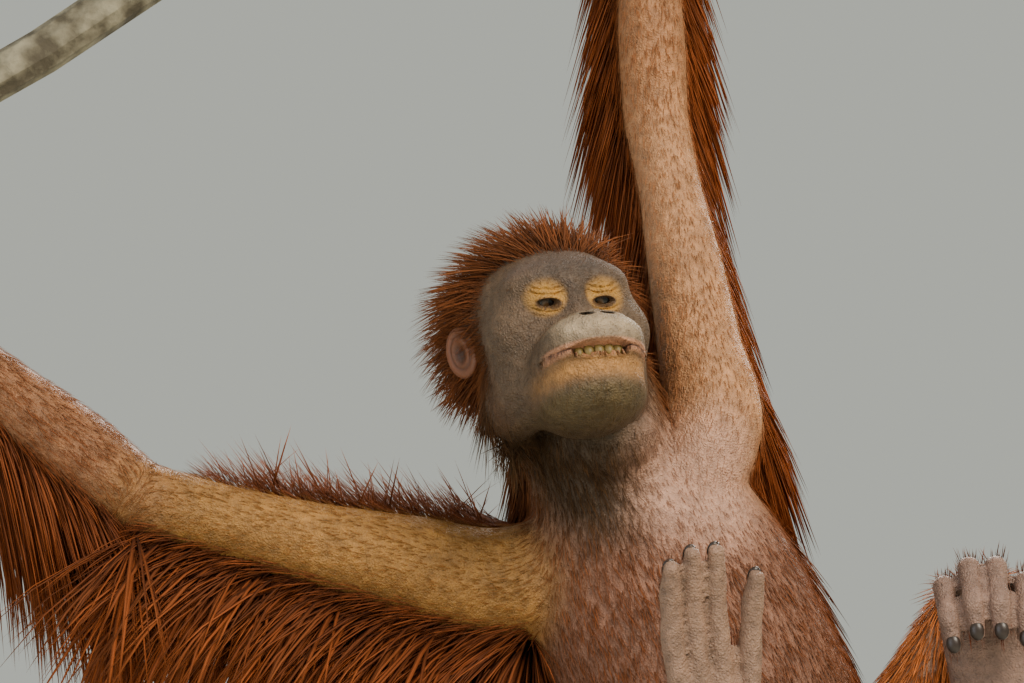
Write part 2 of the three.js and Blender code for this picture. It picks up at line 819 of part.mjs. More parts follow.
function lock({ root, out, lie, length, width, hang }, grow = 0) {
  const blade = new THREE.ConeGeometry(1, 1, 4, 3);
  const line = new THREE.CatmullRomCurve3([
    root.clone().addScaledVector(out, -SUNK).addScaledVector(lie, -length * 0.08),
    root.clone().addScaledVector(out, 3).addScaledVector(lie, length * 0.16),
    root
      .clone()
      .addScaledVector(out, length * 0.16)
      .addScaledVector(lie, length * 0.5)
      .addScaledVector(DOWN, length * hang * 0.2),
    root
      .clone()
      .addScaledVector(out, length * 0.18)
      .addScaledVector(lie, length * 0.8)
      .addScaledVector(DOWN, length * hang * 0.6),
  ]);
  const spot = blade.attributes.position;
  for (let i = 0; i < spot.count; i++) {
    const t = spot.getY(i) + 0.5;
    const heading = line.getTangent(t).normalize();
    const across = lie.clone().cross(out);
    across.addScaledVector(heading, -across.dot(heading)).normalize();
    const face = across.clone().cross(heading);
    const wide = t === 1 ? 0 : (width / 2) * (0.55 + 0.9 * t - 1.1 * t * t) + grow;
    const ring = Math.hypot(spot.getX(i), spot.getZ(i)) > 1e-6 ? 1 : 0;
    const angle = Math.atan2(spot.getZ(i), spot.getX(i));
    const p = line
      .getPoint(t)
      .addScaledVector(across, ring * wide * Math.cos(angle))
      .addScaledVector(face, ring * (wide * 0.24 + 1 + grow) * Math.sin(angle))
      .addScaledVector(heading, t === 1 ? grow : 0);
    spot.setXYZ(i, p.x, p.y, p.z);
  }
  return solid(blade);
}

// Rows of locks along a run, over the part of its girth between two angles in degrees. lean is how far
// the lie follows the run: 1 along it, -1 back along it.
function rowsOfLocks(
  limb,
  { rows, from, to, girth, perRow, length, width, lean, hang, off = 0.45 },
) {
  const locks = [];
  for (let row = 0; row < rows; row++)
    for (let n = 0; n < perRow; n++) {
      const t = THREE.MathUtils.lerp(from, to, (row + 0.5 + (n % 2) * 0.5 - 0.25) / rows);
      const share = (n + 0.5 + chance(-0.15, 0.15)) / perRow;
      const angle = THREE.MathUtils.degToRad(THREE.MathUtils.lerp(...girth, share));
      const s = limb.section(t);
      const out = limb.outward(s, angle);
      const lie = s.along
        .clone()
        .multiplyScalar(lean)
        .addScaledVector(out, off)
        .addScaledVector(DOWN, 0.35)
        .normalize();
      const size = chance(0.85, 1.1);
      locks.push({ root: limb.place(t, angle), out, lie, length: length * size, width, hang });
    }
  return locks;
}

const ARM_COAT = { perRow: 3, length: 104, width: 40, hang: 0.55 };
const LEG_COAT = { perRow: 2, length: 74, width: 46, hang: 0.45 };
const BACK_COAT = { rows: 4, from: 0.1, to: 0.88, girth: [196, 344], perRow: 3 };

// The crown and the sides of the head, as rays of the head's own frame
function headLocks() {
  const rays = [];
  for (let n = 0; n < 3; n++) {
    const swing = THREE.MathUtils.degToRad(-66 + 66 * n);
    rays.push(at(Math.sin(swing), 0.15, Math.cos(swing)), at(Math.sin(swing), 0.8, Math.cos(swing)));
  }
  return rays.map((ray) => {
    const heart = at(0, 4, 0);
    ray.normalize();
    let reach = 30;
    for (let step = 0; step < 30; step++)
      reach -= headField(heart.clone().addScaledVector(ray, reach)) * 0.8;
    const lie = ray.clone().addScaledVector(at(0, 1, 0), 0.9).normalize();
    return {
      root: heart.addScaledVector(ray, reach).applyMatrix4(headMatrix),
      out: ray.clone().transformDirection(headMatrix),
      lie: lie.transformDirection(headMatrix),
      length: 50 * chance(0.85, 1.15),
      width: 52,
      hang: 0.25,
    };
  });
}

const LOCKS = {
  torso: rowsOfLocks(trunk, { ...BACK_COAT, length: 80, width: 60, lean: 0.9, hang: 0.3 }),
  head: headLocks(),
  upper_arm_right: rowsOfLocks(arm("right"), {
    ...ARM_COAT, rows: 6, from: 0.14, to: 0.97, girth: [185, 290], perRow: 2, lean: 0.45,
  }),
  forearm_right: rowsOfLocks(forearm("right"), {
    ...ARM_COAT, rows: 6, from: 0.04, to: 0.92, girth: [185, 290], perRow: 2, lean: -0.4,
  }),
  upper_arm_left: rowsOfLocks(arm("left"), {
    ...ARM_COAT, rows: 4, from: 0.22, to: 0.97, girth: [180, 360], lean: -0.5, off: 0.2, width: 44,
  }),
  forearm_left: rowsOfLocks(forearm("left"), {
    ...ARM_COAT, rows: 4, from: 0.05, to: 0.95, girth: [180, 360], lean: -0.5, off: 0.2, width: 42,
  }),
  thigh_right: rowsOfLocks(thigh("right"), {
    ...LEG_COAT, rows: 3, from: 0.25, to: 0.95, girth: [140, 300], lean: 0.5,
  }),
  shank_right: rowsOfLocks(shank("right"), {
    ...LEG_COAT, rows: 3, from: 0.1, to: 0.8, girth: [150, 310], lean: 0.3,
  }),
  thigh_left: rowsOfLocks(thigh("left"), {
    ...LEG_COAT, rows: 3, from: 0.25, to: 0.95, girth: [40, 200], lean: -0.2,
  }),
  shank_left: rowsOfLocks(shank("left"), {
    ...LEG_COAT, rows: 3, from: 0.1, to: 0.7, girth: [40, 200], lean: 0.5,
  }),
};

// Pieces in order of who gives way: flesh is cut clear of the flesh before it, and locks of all the
// flesh they don't grow from and of the locks before them. What they clear is grown by the gap.
const PIECES = [
  ["torso", (grow) => flesh(trunk, 24, 12, grow), COLOUR.coat],
  ["neck", (grow) => neckSolid(grow), COLOUR.coat],
  ["head", (grow) => headSolid(grow), COLOUR.face],
  ["eye_right", () => eyeball(-1), COLOUR.eye],
  ["eye_left", () => eyeball(1), COLOUR.eye],
  ["ear_right", (grow) => ear(-1, grow), COLOUR.ear],
  ["ear_left", (grow) => ear(1, grow), COLOUR.ear],
  ["branch", (grow) => branchSolid(grow), COLOUR.bark],
];
for (const side of ["right", "left"])
  PIECES.push(
    ["upper_arm_" + side, (grow) => flesh(arm(side), 14, 8, grow), COLOUR.coat],
    ["forearm_" + side, (grow) => flesh(forearm(side), 12, 7, grow), COLOUR.coat],
    ["hand_" + side, (grow) => hand(side, grow), COLOUR.bare],
    ["thigh_" + side, (grow) => flesh(thigh(side), 14, 6, grow), COLOUR.coat],
    ["shank_" + side, (grow) => flesh(shank(side), 12, 6, grow), COLOUR.coat],
    ["foot_" + side, (grow) => foot(side, grow), COLOUR.bare],
  );
for (const [name, x, y] of RODS)
  PIECES.push([name, (grow) => rodSolid(x, y, grow), COLOUR.steel, 0.8]);

function boxesMeet(a, b) {
  const [one, two] = [a.boundingBox(), b.boundingBox()];
  return [0, 1, 2].every((i) => one.min[i] <= two.max[i] && two.min[i] <= one.max[i]);
}
const clearOf = (whole, others) =>
  cut(
    whole,
    others.filter((other) => boxesMeet(whole, other)),
  );

const made = [];
for (const [name, make, colour, metalness] of PIECES) {
  const before = name.startsWith("eye") ? [] : made.map((piece) => piece.grown);
  const whole = clearOf(make(0), before);
  made.push({ name, whole, grown: make(GAP), colour, metalness });
}
const grownLocks = [];
for (const { name, whole, colour, metalness } of made) {
  let full = whole;
  if (LOCKS[name]) {
    const others = made
      .filter((piece) => piece.name !== name)
      .flatMap((piece) => [piece.grown, piece.whole]);
    const locks = join(LOCKS[name].map((one) => lock(one)));
    full = whole.add(clearOf(locks, [...others, ...grownLocks]));
    grownLocks.push(join(LOCKS[name].map((one) => lock(one, GAP))), full);
  }
  addNode(name, full, colour, metalness);
}
addNode("stand_base", baseSolid(), COLOUR.base);

export default group;
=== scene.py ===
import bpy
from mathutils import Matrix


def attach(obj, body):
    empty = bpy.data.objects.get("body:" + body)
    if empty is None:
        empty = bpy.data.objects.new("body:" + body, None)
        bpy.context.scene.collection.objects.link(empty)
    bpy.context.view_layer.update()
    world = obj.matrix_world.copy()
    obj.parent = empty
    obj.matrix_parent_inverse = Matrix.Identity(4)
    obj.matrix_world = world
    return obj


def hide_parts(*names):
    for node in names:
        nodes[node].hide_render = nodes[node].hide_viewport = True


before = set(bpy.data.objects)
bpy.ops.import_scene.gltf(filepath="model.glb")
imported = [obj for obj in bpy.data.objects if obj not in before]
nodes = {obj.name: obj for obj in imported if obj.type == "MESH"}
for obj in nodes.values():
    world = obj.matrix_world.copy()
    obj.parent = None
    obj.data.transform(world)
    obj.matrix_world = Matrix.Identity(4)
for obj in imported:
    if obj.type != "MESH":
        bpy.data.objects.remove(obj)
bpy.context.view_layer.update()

# %% [markdown]
# # A young orangutan hanging from a branch
# The animal is a life-size display model, 1.2 m tall on its stand. A real one is a moulded skin with
# hair punched in lock by lock, and glass eyes set behind modelled lids. The skin here is one closed
# surface, and the hair is solid tapered tufts that grow out of it. Sizes below are in millimetres.

# %% Imports and small helpers
import math

import bpy
import numpy as np
from mathutils import Matrix, Vector
from mathutils.bvhtree import BVHTree

MM = 0.001  # the script's millimetre in Blender's metres


def v(*xyz):
    """A point or a direction."""
    return np.array(xyz, float)


UP, DOWN, FRONT = v(0, 0, 1), v(0, 0, -1), v(0, -1, 0)


def unit(a):
    """The same direction, one long."""
    return a / np.maximum(np.linalg.norm(a, axis=-1, keepdims=True), 1e-9)


def smooth(low, high, x):
    """0 up to low and 1 from high on, with a soft ramp between; it falls where low is over high."""
    t = np.clip((x - low) / (high - low), 0, 1)
    return t * t * (3 - 2 * t)


# %% [markdown]
# The camera stands low and well back, and looks up at the animal by fifteen degrees through a long
# lens, as the photo does.

# %% Camera
CAMERA_AT = Vector((-0.140, -2.3682, 0.0888))
LOOK_AT = Vector((-0.140, -0.050, 0.710))
LENS, SENSOR = 136.1, 36
bpy.ops.object.camera_add(location=CAMERA_AT)
camera = bpy.context.object
camera.rotation_euler = (LOOK_AT - CAMERA_AT).to_track_quat("-Z", "Y").to_euler()
camera.data.sensor_width, camera.data.lens = SENSOR, LENS
bpy.context.scene.camera = camera
print("camera", round((LOOK_AT - CAMERA_AT).length, 3), "m from the face")

# %% [markdown]
# Joints and flesh. The skin is laid along the same runs as the solids: each is a list of stations,
# a point with the half width and half depth of the flesh there.

# %% Joints and runs of flesh
HEAD_AT = v(-116, -49, 723)
SHOULDER = {"right": v(-146, 18, 571), "left": v(-14, 8, 669)}
ELBOW = {"right": v(-374, -6, 621), "left": v(-45, 71, 896)}
WRIST = {"right": v(-548, -8, 760), "left": v(-54, 60, 1128)}
HIP = {"right": v(3, 20, 374), "left": v(62, 24, 392)}
KNEE = {"right": v(-153, -75, 359), "left": v(155, 33, 556)}
ANKLE = {"right": v(-22, -152, 388), "left": v(153, -57, 443)}
SAMPLES = 61


def run(stations, front):
    """A smooth run through the stations, as evenly spaced samples of centre, size and directions."""
    rows = np.array([[*point, w, d] for point, w, d in stations], float)
    gaps = np.linalg.norm(np.diff(rows[:, :3], axis=0), axis=1)
    knots = np.concatenate([[0], np.cumsum(np.maximum(gaps, 1e-3))])
    slopes = np.gradient(rows, knots, axis=0)
    at = np.linspace(0, knots[-1], SAMPLES)
    k = np.clip(np.searchsorted(knots, at, "right") - 1, 0, len(knots) - 2)
    span = (knots[k + 1] - knots[k])[:, None]
    u = (at - knots[k])[:, None] / span
    out = (
        (2 * u**3 - 3 * u**2 + 1) * rows[k]
        + (u**3 - 2 * u**2 + u) * span * slopes[k]
        + (3 * u**2 - 2 * u**3) * rows[k + 1]
        + (u**3 - u**2) * span * slopes[k + 1]
    )
    along = unit(np.gradient(out[:, :3], axis=0))
    side = unit(np.cross(np.broadcast_to(front, along.shape), along))
    face = np.cross(along, side)
    return {"centre": out[:, :3], "size": out[:, 3:], "along": along, "side": side, "face": face}


def lerp(a, b, t):
    """The share t of the way from a to b."""
    return a + (b - a) * t


def limb(a, b, stops, front):
    """A run from joint a to joint b, with its stops as shares of the way, half widths and half depths."""
    return run([(lerp(a, b, t), w, d) for t, w, d in stops], front)


RUNS = {
    "trunk": run(
        [
            (v(-80, 14, 642), 52, 48),
            (v(-66, 18, 612), 76, 56),
            (v(-47, 24, 569), 88, 64),
            (v(-28, 20, 528), 88, 68),
            (v(-8, 16, 482), 86, 72),
            (v(14, 18, 432), 78, 66),
            (v(30, 26, 392), 66, 56),
            (v(37, 34, 368), 52, 46),
        ],
        FRONT,
    ),
    "neck": run(
        [
            (v(-74, 20, 622), 58, 54),
            (v(-86, -4, 652), 50, 50),
            (v(-98, -22, 684), 47, 50),
            (v(-104, -30, 706), 42, 44),
        ],
        FRONT,
    ),
    "upper_arm_right": run(
        [
            (v(-112, 20, 576), 36, 40),
            (SHOULDER["right"], 34, 38),
            (v(-205, 13, 582), 31, 34),
            (v(-265, 7, 594), 27, 29),
            (v(-330, 0, 610), 23, 25),
            (ELBOW["right"], 24, 25),
        ],
        UP,
    ),
    "upper_arm_left": run(
        [
            (v(-28, 10, 636), 36, 40),
            (SHOULDER["left"], 35, 38),
            (v(-20, 22, 722), 30, 33),
            (v(-28, 38, 782), 27, 29),
            (v(-38, 58, 850), 23, 25),
            (ELBOW["left"], 24, 25),
        ],
        FRONT,
    ),
}
FOREARM = [(0, 24, 25), (0.22, 25, 27), (0.5, 21, 23), (0.78, 16, 19), (1, 14, 19)]
THIGH = [(-0.05, 44, 46), (0.3, 42, 44), (0.7, 33, 34), (1, 29, 30)]
SHANK = [(0, 28, 29), (0.3, 27, 29), (0.7, 20, 22), (1, 17, 20)]
for side, front in (("right", UP), ("left", FRONT)):
    RUNS["forearm_" + side] = limb(ELBOW[side], WRIST[side], FOREARM, front)
for side, front in (("right", UP), ("left", v(1, 0, 0))):
    RUNS["thigh_" + side] = limb(HIP[side], KNEE[side], THIGH, front)
    RUNS["shank_" + side] = limb(KNEE[side], ANKLE[side], SHANK, front)
print(len(RUNS), "runs of flesh")

# %% [markdown]
# Each run becomes a closed body. A UV sphere is added, and its rings are moved along the run; the
# first and last rings close it as caps. The flesh lies a little inside the solids' own, which leaves
# room for the folds of the skin. A ball fills the throat.


# %% Bodies of flesh
def flesh(name, r, sides, rings, inside=0.0, blunt=0.7, cap=0.2):
    """A closed body along a run. blunt and cap say how long its ends are and how many rings they take."""
    bpy.ops.mesh.primitive_uv_sphere_add(segments=sides, ring_count=rings, radius=1)
    obj = bpy.context.object
    obj.name = name
    spots = np.empty(len(obj.data.vertices) * 3)
    obj.data.vertices.foreach_get("co", spots)
    ball = spots.reshape(-1, 3)
    share = np.arccos(np.clip(ball[:, 2], -1, 1)) / math.pi
    angle = np.arctan2(ball[:, 1], ball[:, 0])
    in_cap = np.maximum(np.maximum(cap - share, share - 1 + cap), 0) / cap
    t = np.clip((share - cap) / (1 - 2 * cap), 0, 1)
    i = np.rint(t * (SAMPLES - 1)).astype(int)
    size = r["size"][i] - inside
    tuck = np.where(in_cap > 0.999, 0, np.cos(in_cap * math.pi / 2))[:, None]
    reach = blunt * size.min(axis=1)
    slide = np.sin(in_cap * math.pi / 2) * reach * np.where(share < 0.5, -1, 1)
    spots = (
        r["centre"][i]
        + r["side"][i] * size[:, :1] * tuck * np.cos(angle)[:, None]
        + r["face"][i] * size[:, 1:] * tuck * np.sin(angle)[:, None]
        + r["along"][i] * slide[:, None]
    )
    obj.data.vertices.foreach_set("co", (spots * MM).ravel())
    obj.data.update()
    return obj


SKIN_INSIDE = 2.5
THROAT_AT, THROAT_RADII = v(-86, -42, 654), v(36, 28, 28)
flesh_pieces = [flesh(name, r, 32, 40, inside=SKIN_INSIDE) for name, r in RUNS.items()]
bpy.ops.mesh.primitive_uv_sphere_add(segments=24, ring_count=16, radius=1)
throat = bpy.context.object
throat.scale = THROAT_RADII * MM
throat.location = THROAT_AT * MM
bpy.ops.object.transform_apply(location=True, scale=True)
flesh_pieces.append(throat)
print(len(flesh_pieces), "bodies of flesh")

# %% [markdown]
# A digit is a run too. It starts at its knuckle and bends at each joint about its own hinge, towards
# the palm. Where its nail goes is kept for later.

# %% One digit
nails, hand_runs, digit_runs = {}, {}, []


def turned(a, axis, degrees):
    """The direction a, turned about an axis."""
    return np.array(Matrix.Rotation(math.radians(degrees), 3, Vector(axis)) @ Vector(a))


def digit(owner, root, reach, palm, bones, bends, radius):
    """A finger or a toe of the owner, from its root along reach, bending towards palm."""
    hinge = unit(np.cross(reach, palm))
    line, heading = [root], unit(reach)
    for bone, bend in zip(bones, bends):
        heading = turned(heading, hinge, bend)
        line.append(line[-1] + heading * bone)
    stations = []
    for i, joint in enumerate(line):
        last = i == len(line) - 1
        thick = radius * (1 - 0.06 * i)
        if i:
            mid = lerp(line[i - 1], joint, 0.45 if last else 0.5)
            stations.append((mid, thick * 0.93, thick * 0.9))
        stations.append((joint, thick * (0.8 if last else 1), thick * (0.7 if last else 0.98)))
    r = run(stations, hinge)
    hand_runs.setdefault(owner, []).append(r)
    digit_runs.append(r)
    flesh_pieces.append(flesh(owner + "_digit", r, 16, 24, blunt=0.8, cap=0.12))
    back = unit(np.cross(heading, hinge))
    spot = line[-1] - heading * 1.0 + back * radius * 0.42
    nails.setdefault(owner, []).append((spot, hinge, heading, back, radius))


def grasper(owner, root, reach, palm, pad, digits, thumb):
    """A hand or a foot: a pad along reach that faces palm, four digits, and a thumb or a big toe."""
    side = unit(np.cross(reach, palm)) * thumb["side"]

    def spot(r, s, p):
        return root + reach * r + side * s + palm * p

    r = run([(spot(a, b, c), w, d) for a, b, c, w, d in pad], palm)
    hand_runs.setdefault(owner, []).append(r)
    flesh_pieces.append(flesh(owner + "_palm", r, 28, 28, blunt=0.6))
    for (along, across), fan, bones in zip(digits["spots"], digits["fan"], digits["bones"]):
        lean = unit(reach + side * fan)
        base = spot(along, across, digits["lift"])
        digit(owner, base, lean, palm, bones, digits["bends"], digits["radius"])
    a, b, c = thumb["lean"]
    lean = unit(reach * a + side * b + palm * c)
    facing = unit(palm - side * 0.8)
    facing = unit(facing - lean * facing.dot(lean))
    digit(owner, spot(*thumb["spot"]), lean, facing, thumb["bones"], thumb["bends"], thumb["radius"])


print("a digit has", SAMPLES, "samples")

# %% [markdown]
# Hands and feet. Fingers hook over the branch from behind, with their joints on a circle round it;
# the right foot is spread with its sole to the camera and the left one is curled. Lengths of bones,
# places of knuckles and turns of joints are given from the palm, in millimetres and degrees.

# %% Hands and feet
BRANCH_RADIUS, FINGER_RADIUS, TOE_RADIUS = 14, 7.4, 7.5
FINGERS = [(39, 27, 17), (41, 29, 18), (41, 29, 18), (38, 25, 16)]
TOES = [(40, 26, 16), (44, 29, 17), (43, 29, 17), (38, 25, 15)]
PALM = [(-4, 0, 0, 17, 14), (22, 0, 1, 22, 13), (44, 0, 2, 26, 13), (62, 0, 2, 28, 10)]
SOLE = [
    (-20, 0, 2, 15, 14),
    (0, 0, 1, 20, 17),
    (30, 0, 0, 24, 14),
    (58, 0, 0, 26, 12),
    (80, 0, 0, 28, 11),
]
KNUCKLES = [(64, 21), (64, 7), (64, -7), (64, -21)]
THUMB = {"spot": (20, 20, 3), "lean": (0.66, 0.6, 0.3), "bones": (20, 15), "bends": (10, 18), "radius": 7}
BIG_TOE = {"spot": (6, 19, 4), "lean": (0.55, 0.75, 0.3), "bones": (26, 18), "bends": (8, 20), "radius": 8}
SOLE_REACH = {"right": v(-0.05, -0.2, 0.98), "left": v(-0.1, -0.32, 0.94)}
SOLE_FACING = {"right": v(0.3, -0.93, 0), "left": v(-0.1, -0.95, -0.1)}
SOLE_AWAY = 12
TOE_ROOTS = {
    "right": [(69, 19), (77, 4), (77, -10), (80, -24)],
    "left": [(76, 21), (82, 7), (82, -7), (76, -21)],
}
TOE_FANS = {"right": (0.02, -0.09, -0.1, -0.09), "left": (0.06, 0.02, -0.02, -0.06)}
TOE_BENDS = {"right": (4, 10, 12), "left": (12, 118, 34)}

branch_along = unit(WRIST["left"] - WRIST["right"])
palm_facing = unit(FRONT - branch_along * FRONT.dot(branch_along))
palm_up = unit(np.cross(palm_facing, branch_along))
hooked = math.hypot(BRANCH_RADIUS + FINGER_RADIUS, FINGERS[1][0] / 2)
first, second, third = (math.degrees(2 * math.asin(bone / 2 / hooked)) for bone in FINGERS[1])
hooks = (first / 2, (first + second) / 2, (second + third) / 2)

PALM_AWAY = {}
for side, s in (("right", 1), ("left", -1)):
    fingers = dict(
        spots=KNUCKLES, fan=(0, 0, 0, 0), lift=0, bones=FINGERS, bends=hooks, radius=FINGER_RADIUS
    )
    grasper("hand_" + side, WRIST[side], palm_up, palm_facing, PALM, fingers, {"side": s, **THUMB})
    PALM_AWAY["hand_" + side] = -palm_facing
    reach = unit(SOLE_REACH[side])
    palm = unit(SOLE_FACING[side] - reach * SOLE_FACING[side].dot(reach))
    toes = dict(
        spots=TOE_ROOTS[side],
        fan=TOE_FANS[side],
        lift=1,
        bones=TOES,
        bends=TOE_BENDS[side],
        radius=TOE_RADIUS,
    )
    heel = ANKLE[side] + palm * SOLE_AWAY
    grasper("foot_" + side, heel, reach, palm, SOLE, toes, {"side": s, **BIG_TOE})
    PALM_AWAY["foot_" + side] = -palm
print(sum(len(r) for r in hand_runs.values()), "runs in hands and feet")

# %% [markdown]
# The head is a soft union of rounded masses: skull, face, muzzle, chin, brow ridges, cheeks and jowls,
# with hollows round the eyes. The field below gives the distance to it in the head's own frame, where
# the face is towards -Y.

# %% The head's field
HEAD_TURN, HEAD_LIFT, HEAD_ROLL = 15.5, 9.5, 7
head_matrix = (
    Matrix.Translation(HEAD_AT)
    @ Matrix.Rotation(math.radians(HEAD_TURN), 4, "Z")
    @ Matrix.Rotation(math.radians(-HEAD_LIFT), 4, "X")
    @ Matrix.Rotation(math.radians(-HEAD_ROLL), 4, "Y")
)
HEAD_AXES = np.array(head_matrix.to_3x3())
# Centre, radii, and how softly each mass joins those before it
HEAD_MASSES = [
    ((0, 14, 2), (54, 66, 47), 0),
    ((0, -18, -18), (46, 34, 42), 18),
    ((0, -50, -50), (35, 38, 25), 12),
    ((0, -70, -43), (29, 21, 15), 10),
    ((0, -46, -73), (33, 37, 20), 12),
    ((0, -50, -10), (6, 8, 15), 8),
    ((0, -71, -25), (12, 6, 4), 6),
    ((18, -40, 8), (18, 11, 9), 14),
    ((36, -28, -22), (15, 16, 16), 12),
    ((32, -4, -52), (18, 32, 26), 16),
]
EYE_HOLLOW = ((18, -66, -6), (13, 13, 9), 12)
EYE = {"x": 17.7, "y": -41, "z": -4, "radius": 10, "lid": 12.6, "down": 30}
MOUTH = {"half": 32.5, "middle": -54, "corner": -53}
MARCHES = 60  # steps that a point takes at most to reach the field


def to_head(p):
    return (p - HEAD_AT) @ HEAD_AXES


def from_head(p):
    return p @ HEAD_AXES.T + HEAD_AT


def to_ellipsoid(p, c, r):
    """About the distance from an ellipsoid with centre c and radii r."""
    q = (p - c) / r
    near = np.linalg.norm(q, axis=-1)
    return near * (near - 1) / np.maximum(np.linalg.norm(q / r, axis=-1), 1e-9)


def soft_join(a, b, k):
    """The nearer of two distances, with a fillet about k wide where they meet."""
    h = np.maximum(k - np.abs(a - b), 0) / k
    return np.minimum(a, b) - h * h * k / 4


def soft_carve(a, b, k):
    return -soft_join(-a, b, k)


def head_field(p):
    """Distance from the head's surface, under 0 inside it."""
    q = p.copy()
    q[:, 0] = np.abs(q[:, 0])
    d = np.full(len(q), 1e3)
    for centre, radii, k in HEAD_MASSES:
        away = to_ellipsoid(q, np.array(centre), np.array(radii))
        d = soft_join(d, away, k) if k else np.minimum(d, away)
    centre, radii, k = EYE_HOLLOW
    return soft_carve(d, to_ellipsoid(q, np.array(centre), np.array(radii)), k)


print(len(HEAD_MASSES), "masses in the head")

# %% [markdown]
# The head's body is an ico sphere, whose points are pushed out along their rays from the middle of
# the head until they reach the field.

# %% Head
bpy.ops.mesh.primitive_ico_sphere_add(subdivisions=5, radius=1)
head = bpy.context.object
rays = np.array([vert.co for vert in head.data.vertices])
heart = v(0, -14, -20)
reach = np.full(len(rays), 10.0)
for _ in range(MARCHES):
    reach += np.minimum(-head_field(heart + rays * reach[:, None]) * 0.6, 8)
head_spots = from_head(heart + rays * reach[:, None])
head.data.vertices.foreach_set("co", (head_spots * MM).ravel())
flesh_pieces.append(head)
print("head reaches from", reach.min().round(1), "to", reach.max().round(1), "mm from its heart")

# %% [markdown]
# All of it becomes one skin: the bodies are joined, a voxel remesh melts them together, and a smooth
# rounds the creases where they meet.

# %% One skin
VOXEL = 3.4
bpy.ops.object.select_all(action="DESELECT")
for piece in flesh_pieces:
    piece.select_set(True)
bpy.context.view_layer.objects.active = flesh_pieces[0]
bpy.ops.object.join()
skin = bpy.context.object
skin.name = "skin"
remesh = skin.modifiers.new("one surface", "REMESH")
remesh.mode = "VOXEL"
remesh.voxel_size = VOXEL * MM
bpy.ops.object.modifier_apply(modifier=remesh.name)
rounding = skin.modifiers.new("rounding", "SMOOTH")
rounding.factor, rounding.iterations = 0.5, 6
bpy.ops.object.modifier_apply(modifier=rounding.name)
print("skin", len(skin.data.polygons), "faces before it is refined")

# %% [markdown]
# The digits and the head are then subdivided, the face once more, and the eyes, nose and lips a third
# time, where the folds are finer than a millimetre.


# %% Finer where it counts
def points(obj):
    """The points of a mesh, in millimetres."""
    spots = np.empty(len(obj.data.vertices) * 3)
    obj.data.vertices.foreach_get("co", spots)
    return spots.reshape(-1, 3) / MM


def put(obj, spots):
    """Moves the points of a mesh to these places."""
    obj.data.vertices.foreach_set("co", (spots * MM).ravel())
    obj.data.update()


def refine(obj, wanted):
    """Subdivides once the faces whose middles the test picks."""
    count = len(obj.data.polygons)
    middles = np.empty(count * 3)
    obj.data.polygons.foreach_get("center", middles)
    picked = wanted(middles.reshape(-1, 3) / MM)
    bpy.ops.object.mode_set(mode="EDIT")
    bpy.ops.mesh.select_mode(type="FACE")
    bpy.ops.mesh.select_all(action="DESELECT")
    bpy.ops.object.mode_set(mode="OBJECT")
    obj.data.polygons.foreach_set("select", picked)
    bpy.ops.object.mode_set(mode="EDIT")
    bpy.ops.mesh.subdivide(number_cuts=1)
    bpy.ops.object.mode_set(mode="OBJECT")
    print("subdivided", int(picked.sum()), "of", count, "faces")


def on_head(p):
    return head_field(to_head(p)) < 4


def on_face(p):
    q = to_head(p)
    return (q[:, 1] < -22) & (np.abs(q[:, 0]) < 46) & (q[:, 2] < 30) & on_head(p)


def on_features(p):
    q = to_head(p)
    eye = np.hypot(np.abs(q[:, 0]) - EYE["x"], q[:, 2] - EYE["z"] + 5) < 13
    mouth = (np.abs(q[:, 2] - MOUTH["middle"]) < 8) & (np.abs(q[:, 0]) < 36)
    nose = (np.abs(q[:, 0]) < 14) & (np.abs(q[:, 2] + 28) < 7)
    return (q[:, 1] < -34) & (eye | mouth | nose)


def nearest(p, r):
    """Index of the nearest sample of a run, and the distance to its flesh."""
    index = np.zeros(len(p), int)
    best = np.full(len(p), 1e9)
    for i in range(0, SAMPLES, 2):
        d = np.linalg.norm(p - r["centre"][i], axis=1) - r["size"][i].mean()
        index = np.where(d < best, i, index)
        best = np.minimum(best, d)
    return index, best


def digits_field(p):
    """Distance to the nearest digit, and how far along it that is."""
    d, along = np.full(len(p), 1e3), np.zeros(len(p))
    for r in digit_runs:
        index, distance = nearest(p, r)
        along = np.where(distance < d, index / (SAMPLES - 1), along)
        d = soft_join(d, distance, 1.0)
    return d, along


def on_digits(p):
    return digits_field(p)[0] < 3.5


refine(skin, on_digits)
refine(skin, on_head)
refine(skin, on_face)
refine(skin, on_features)
print("skin", len(skin.data.polygons), "faces")

# %% [markdown]
# The lips meet on a line across the muzzle, found by marching points onto the head's field from the
# front. Each lip is a roll along that line, thinner towards the corners. The lids are given in a frame
# of their own, that looks the way the slit does.

# %% Lines of the lips and frames of the eyes
NOSTRIL = {"x": 6.6, "z": -31.5, "wide": 4.6, "tall": 2.1}
SLIT = {"wide": 7.2, "tall": 3.2, "up": 0.2}
look = np.array(Matrix.Rotation(math.radians(EYE["down"]), 3, "X"))


def face_depth(x, z):
    """y of the face straight in front of (x, z)."""
    p = np.stack([x, np.full_like(x, -125.0), z], axis=1)
    for _ in range(MARCHES):
        p[:, 1] += np.maximum(head_field(p), 0.02) * 0.8
    return p[:, 1]


lip_x = np.linspace(-MOUTH["half"], MOUTH["half"], 41)
lip_share = lip_x / MOUTH["half"]
lip_z = MOUTH["middle"] + (MOUTH["corner"] - MOUTH["middle"]) * lip_share**2
lip_y = face_depth(lip_x, lip_z)


def mouth_open(share):
    """Half the height of the mouth's opening, widest a little to the animal's right."""
    return 0.1 + 2.4 * np.exp(-(((share + 0.06) / 0.5) ** 4))


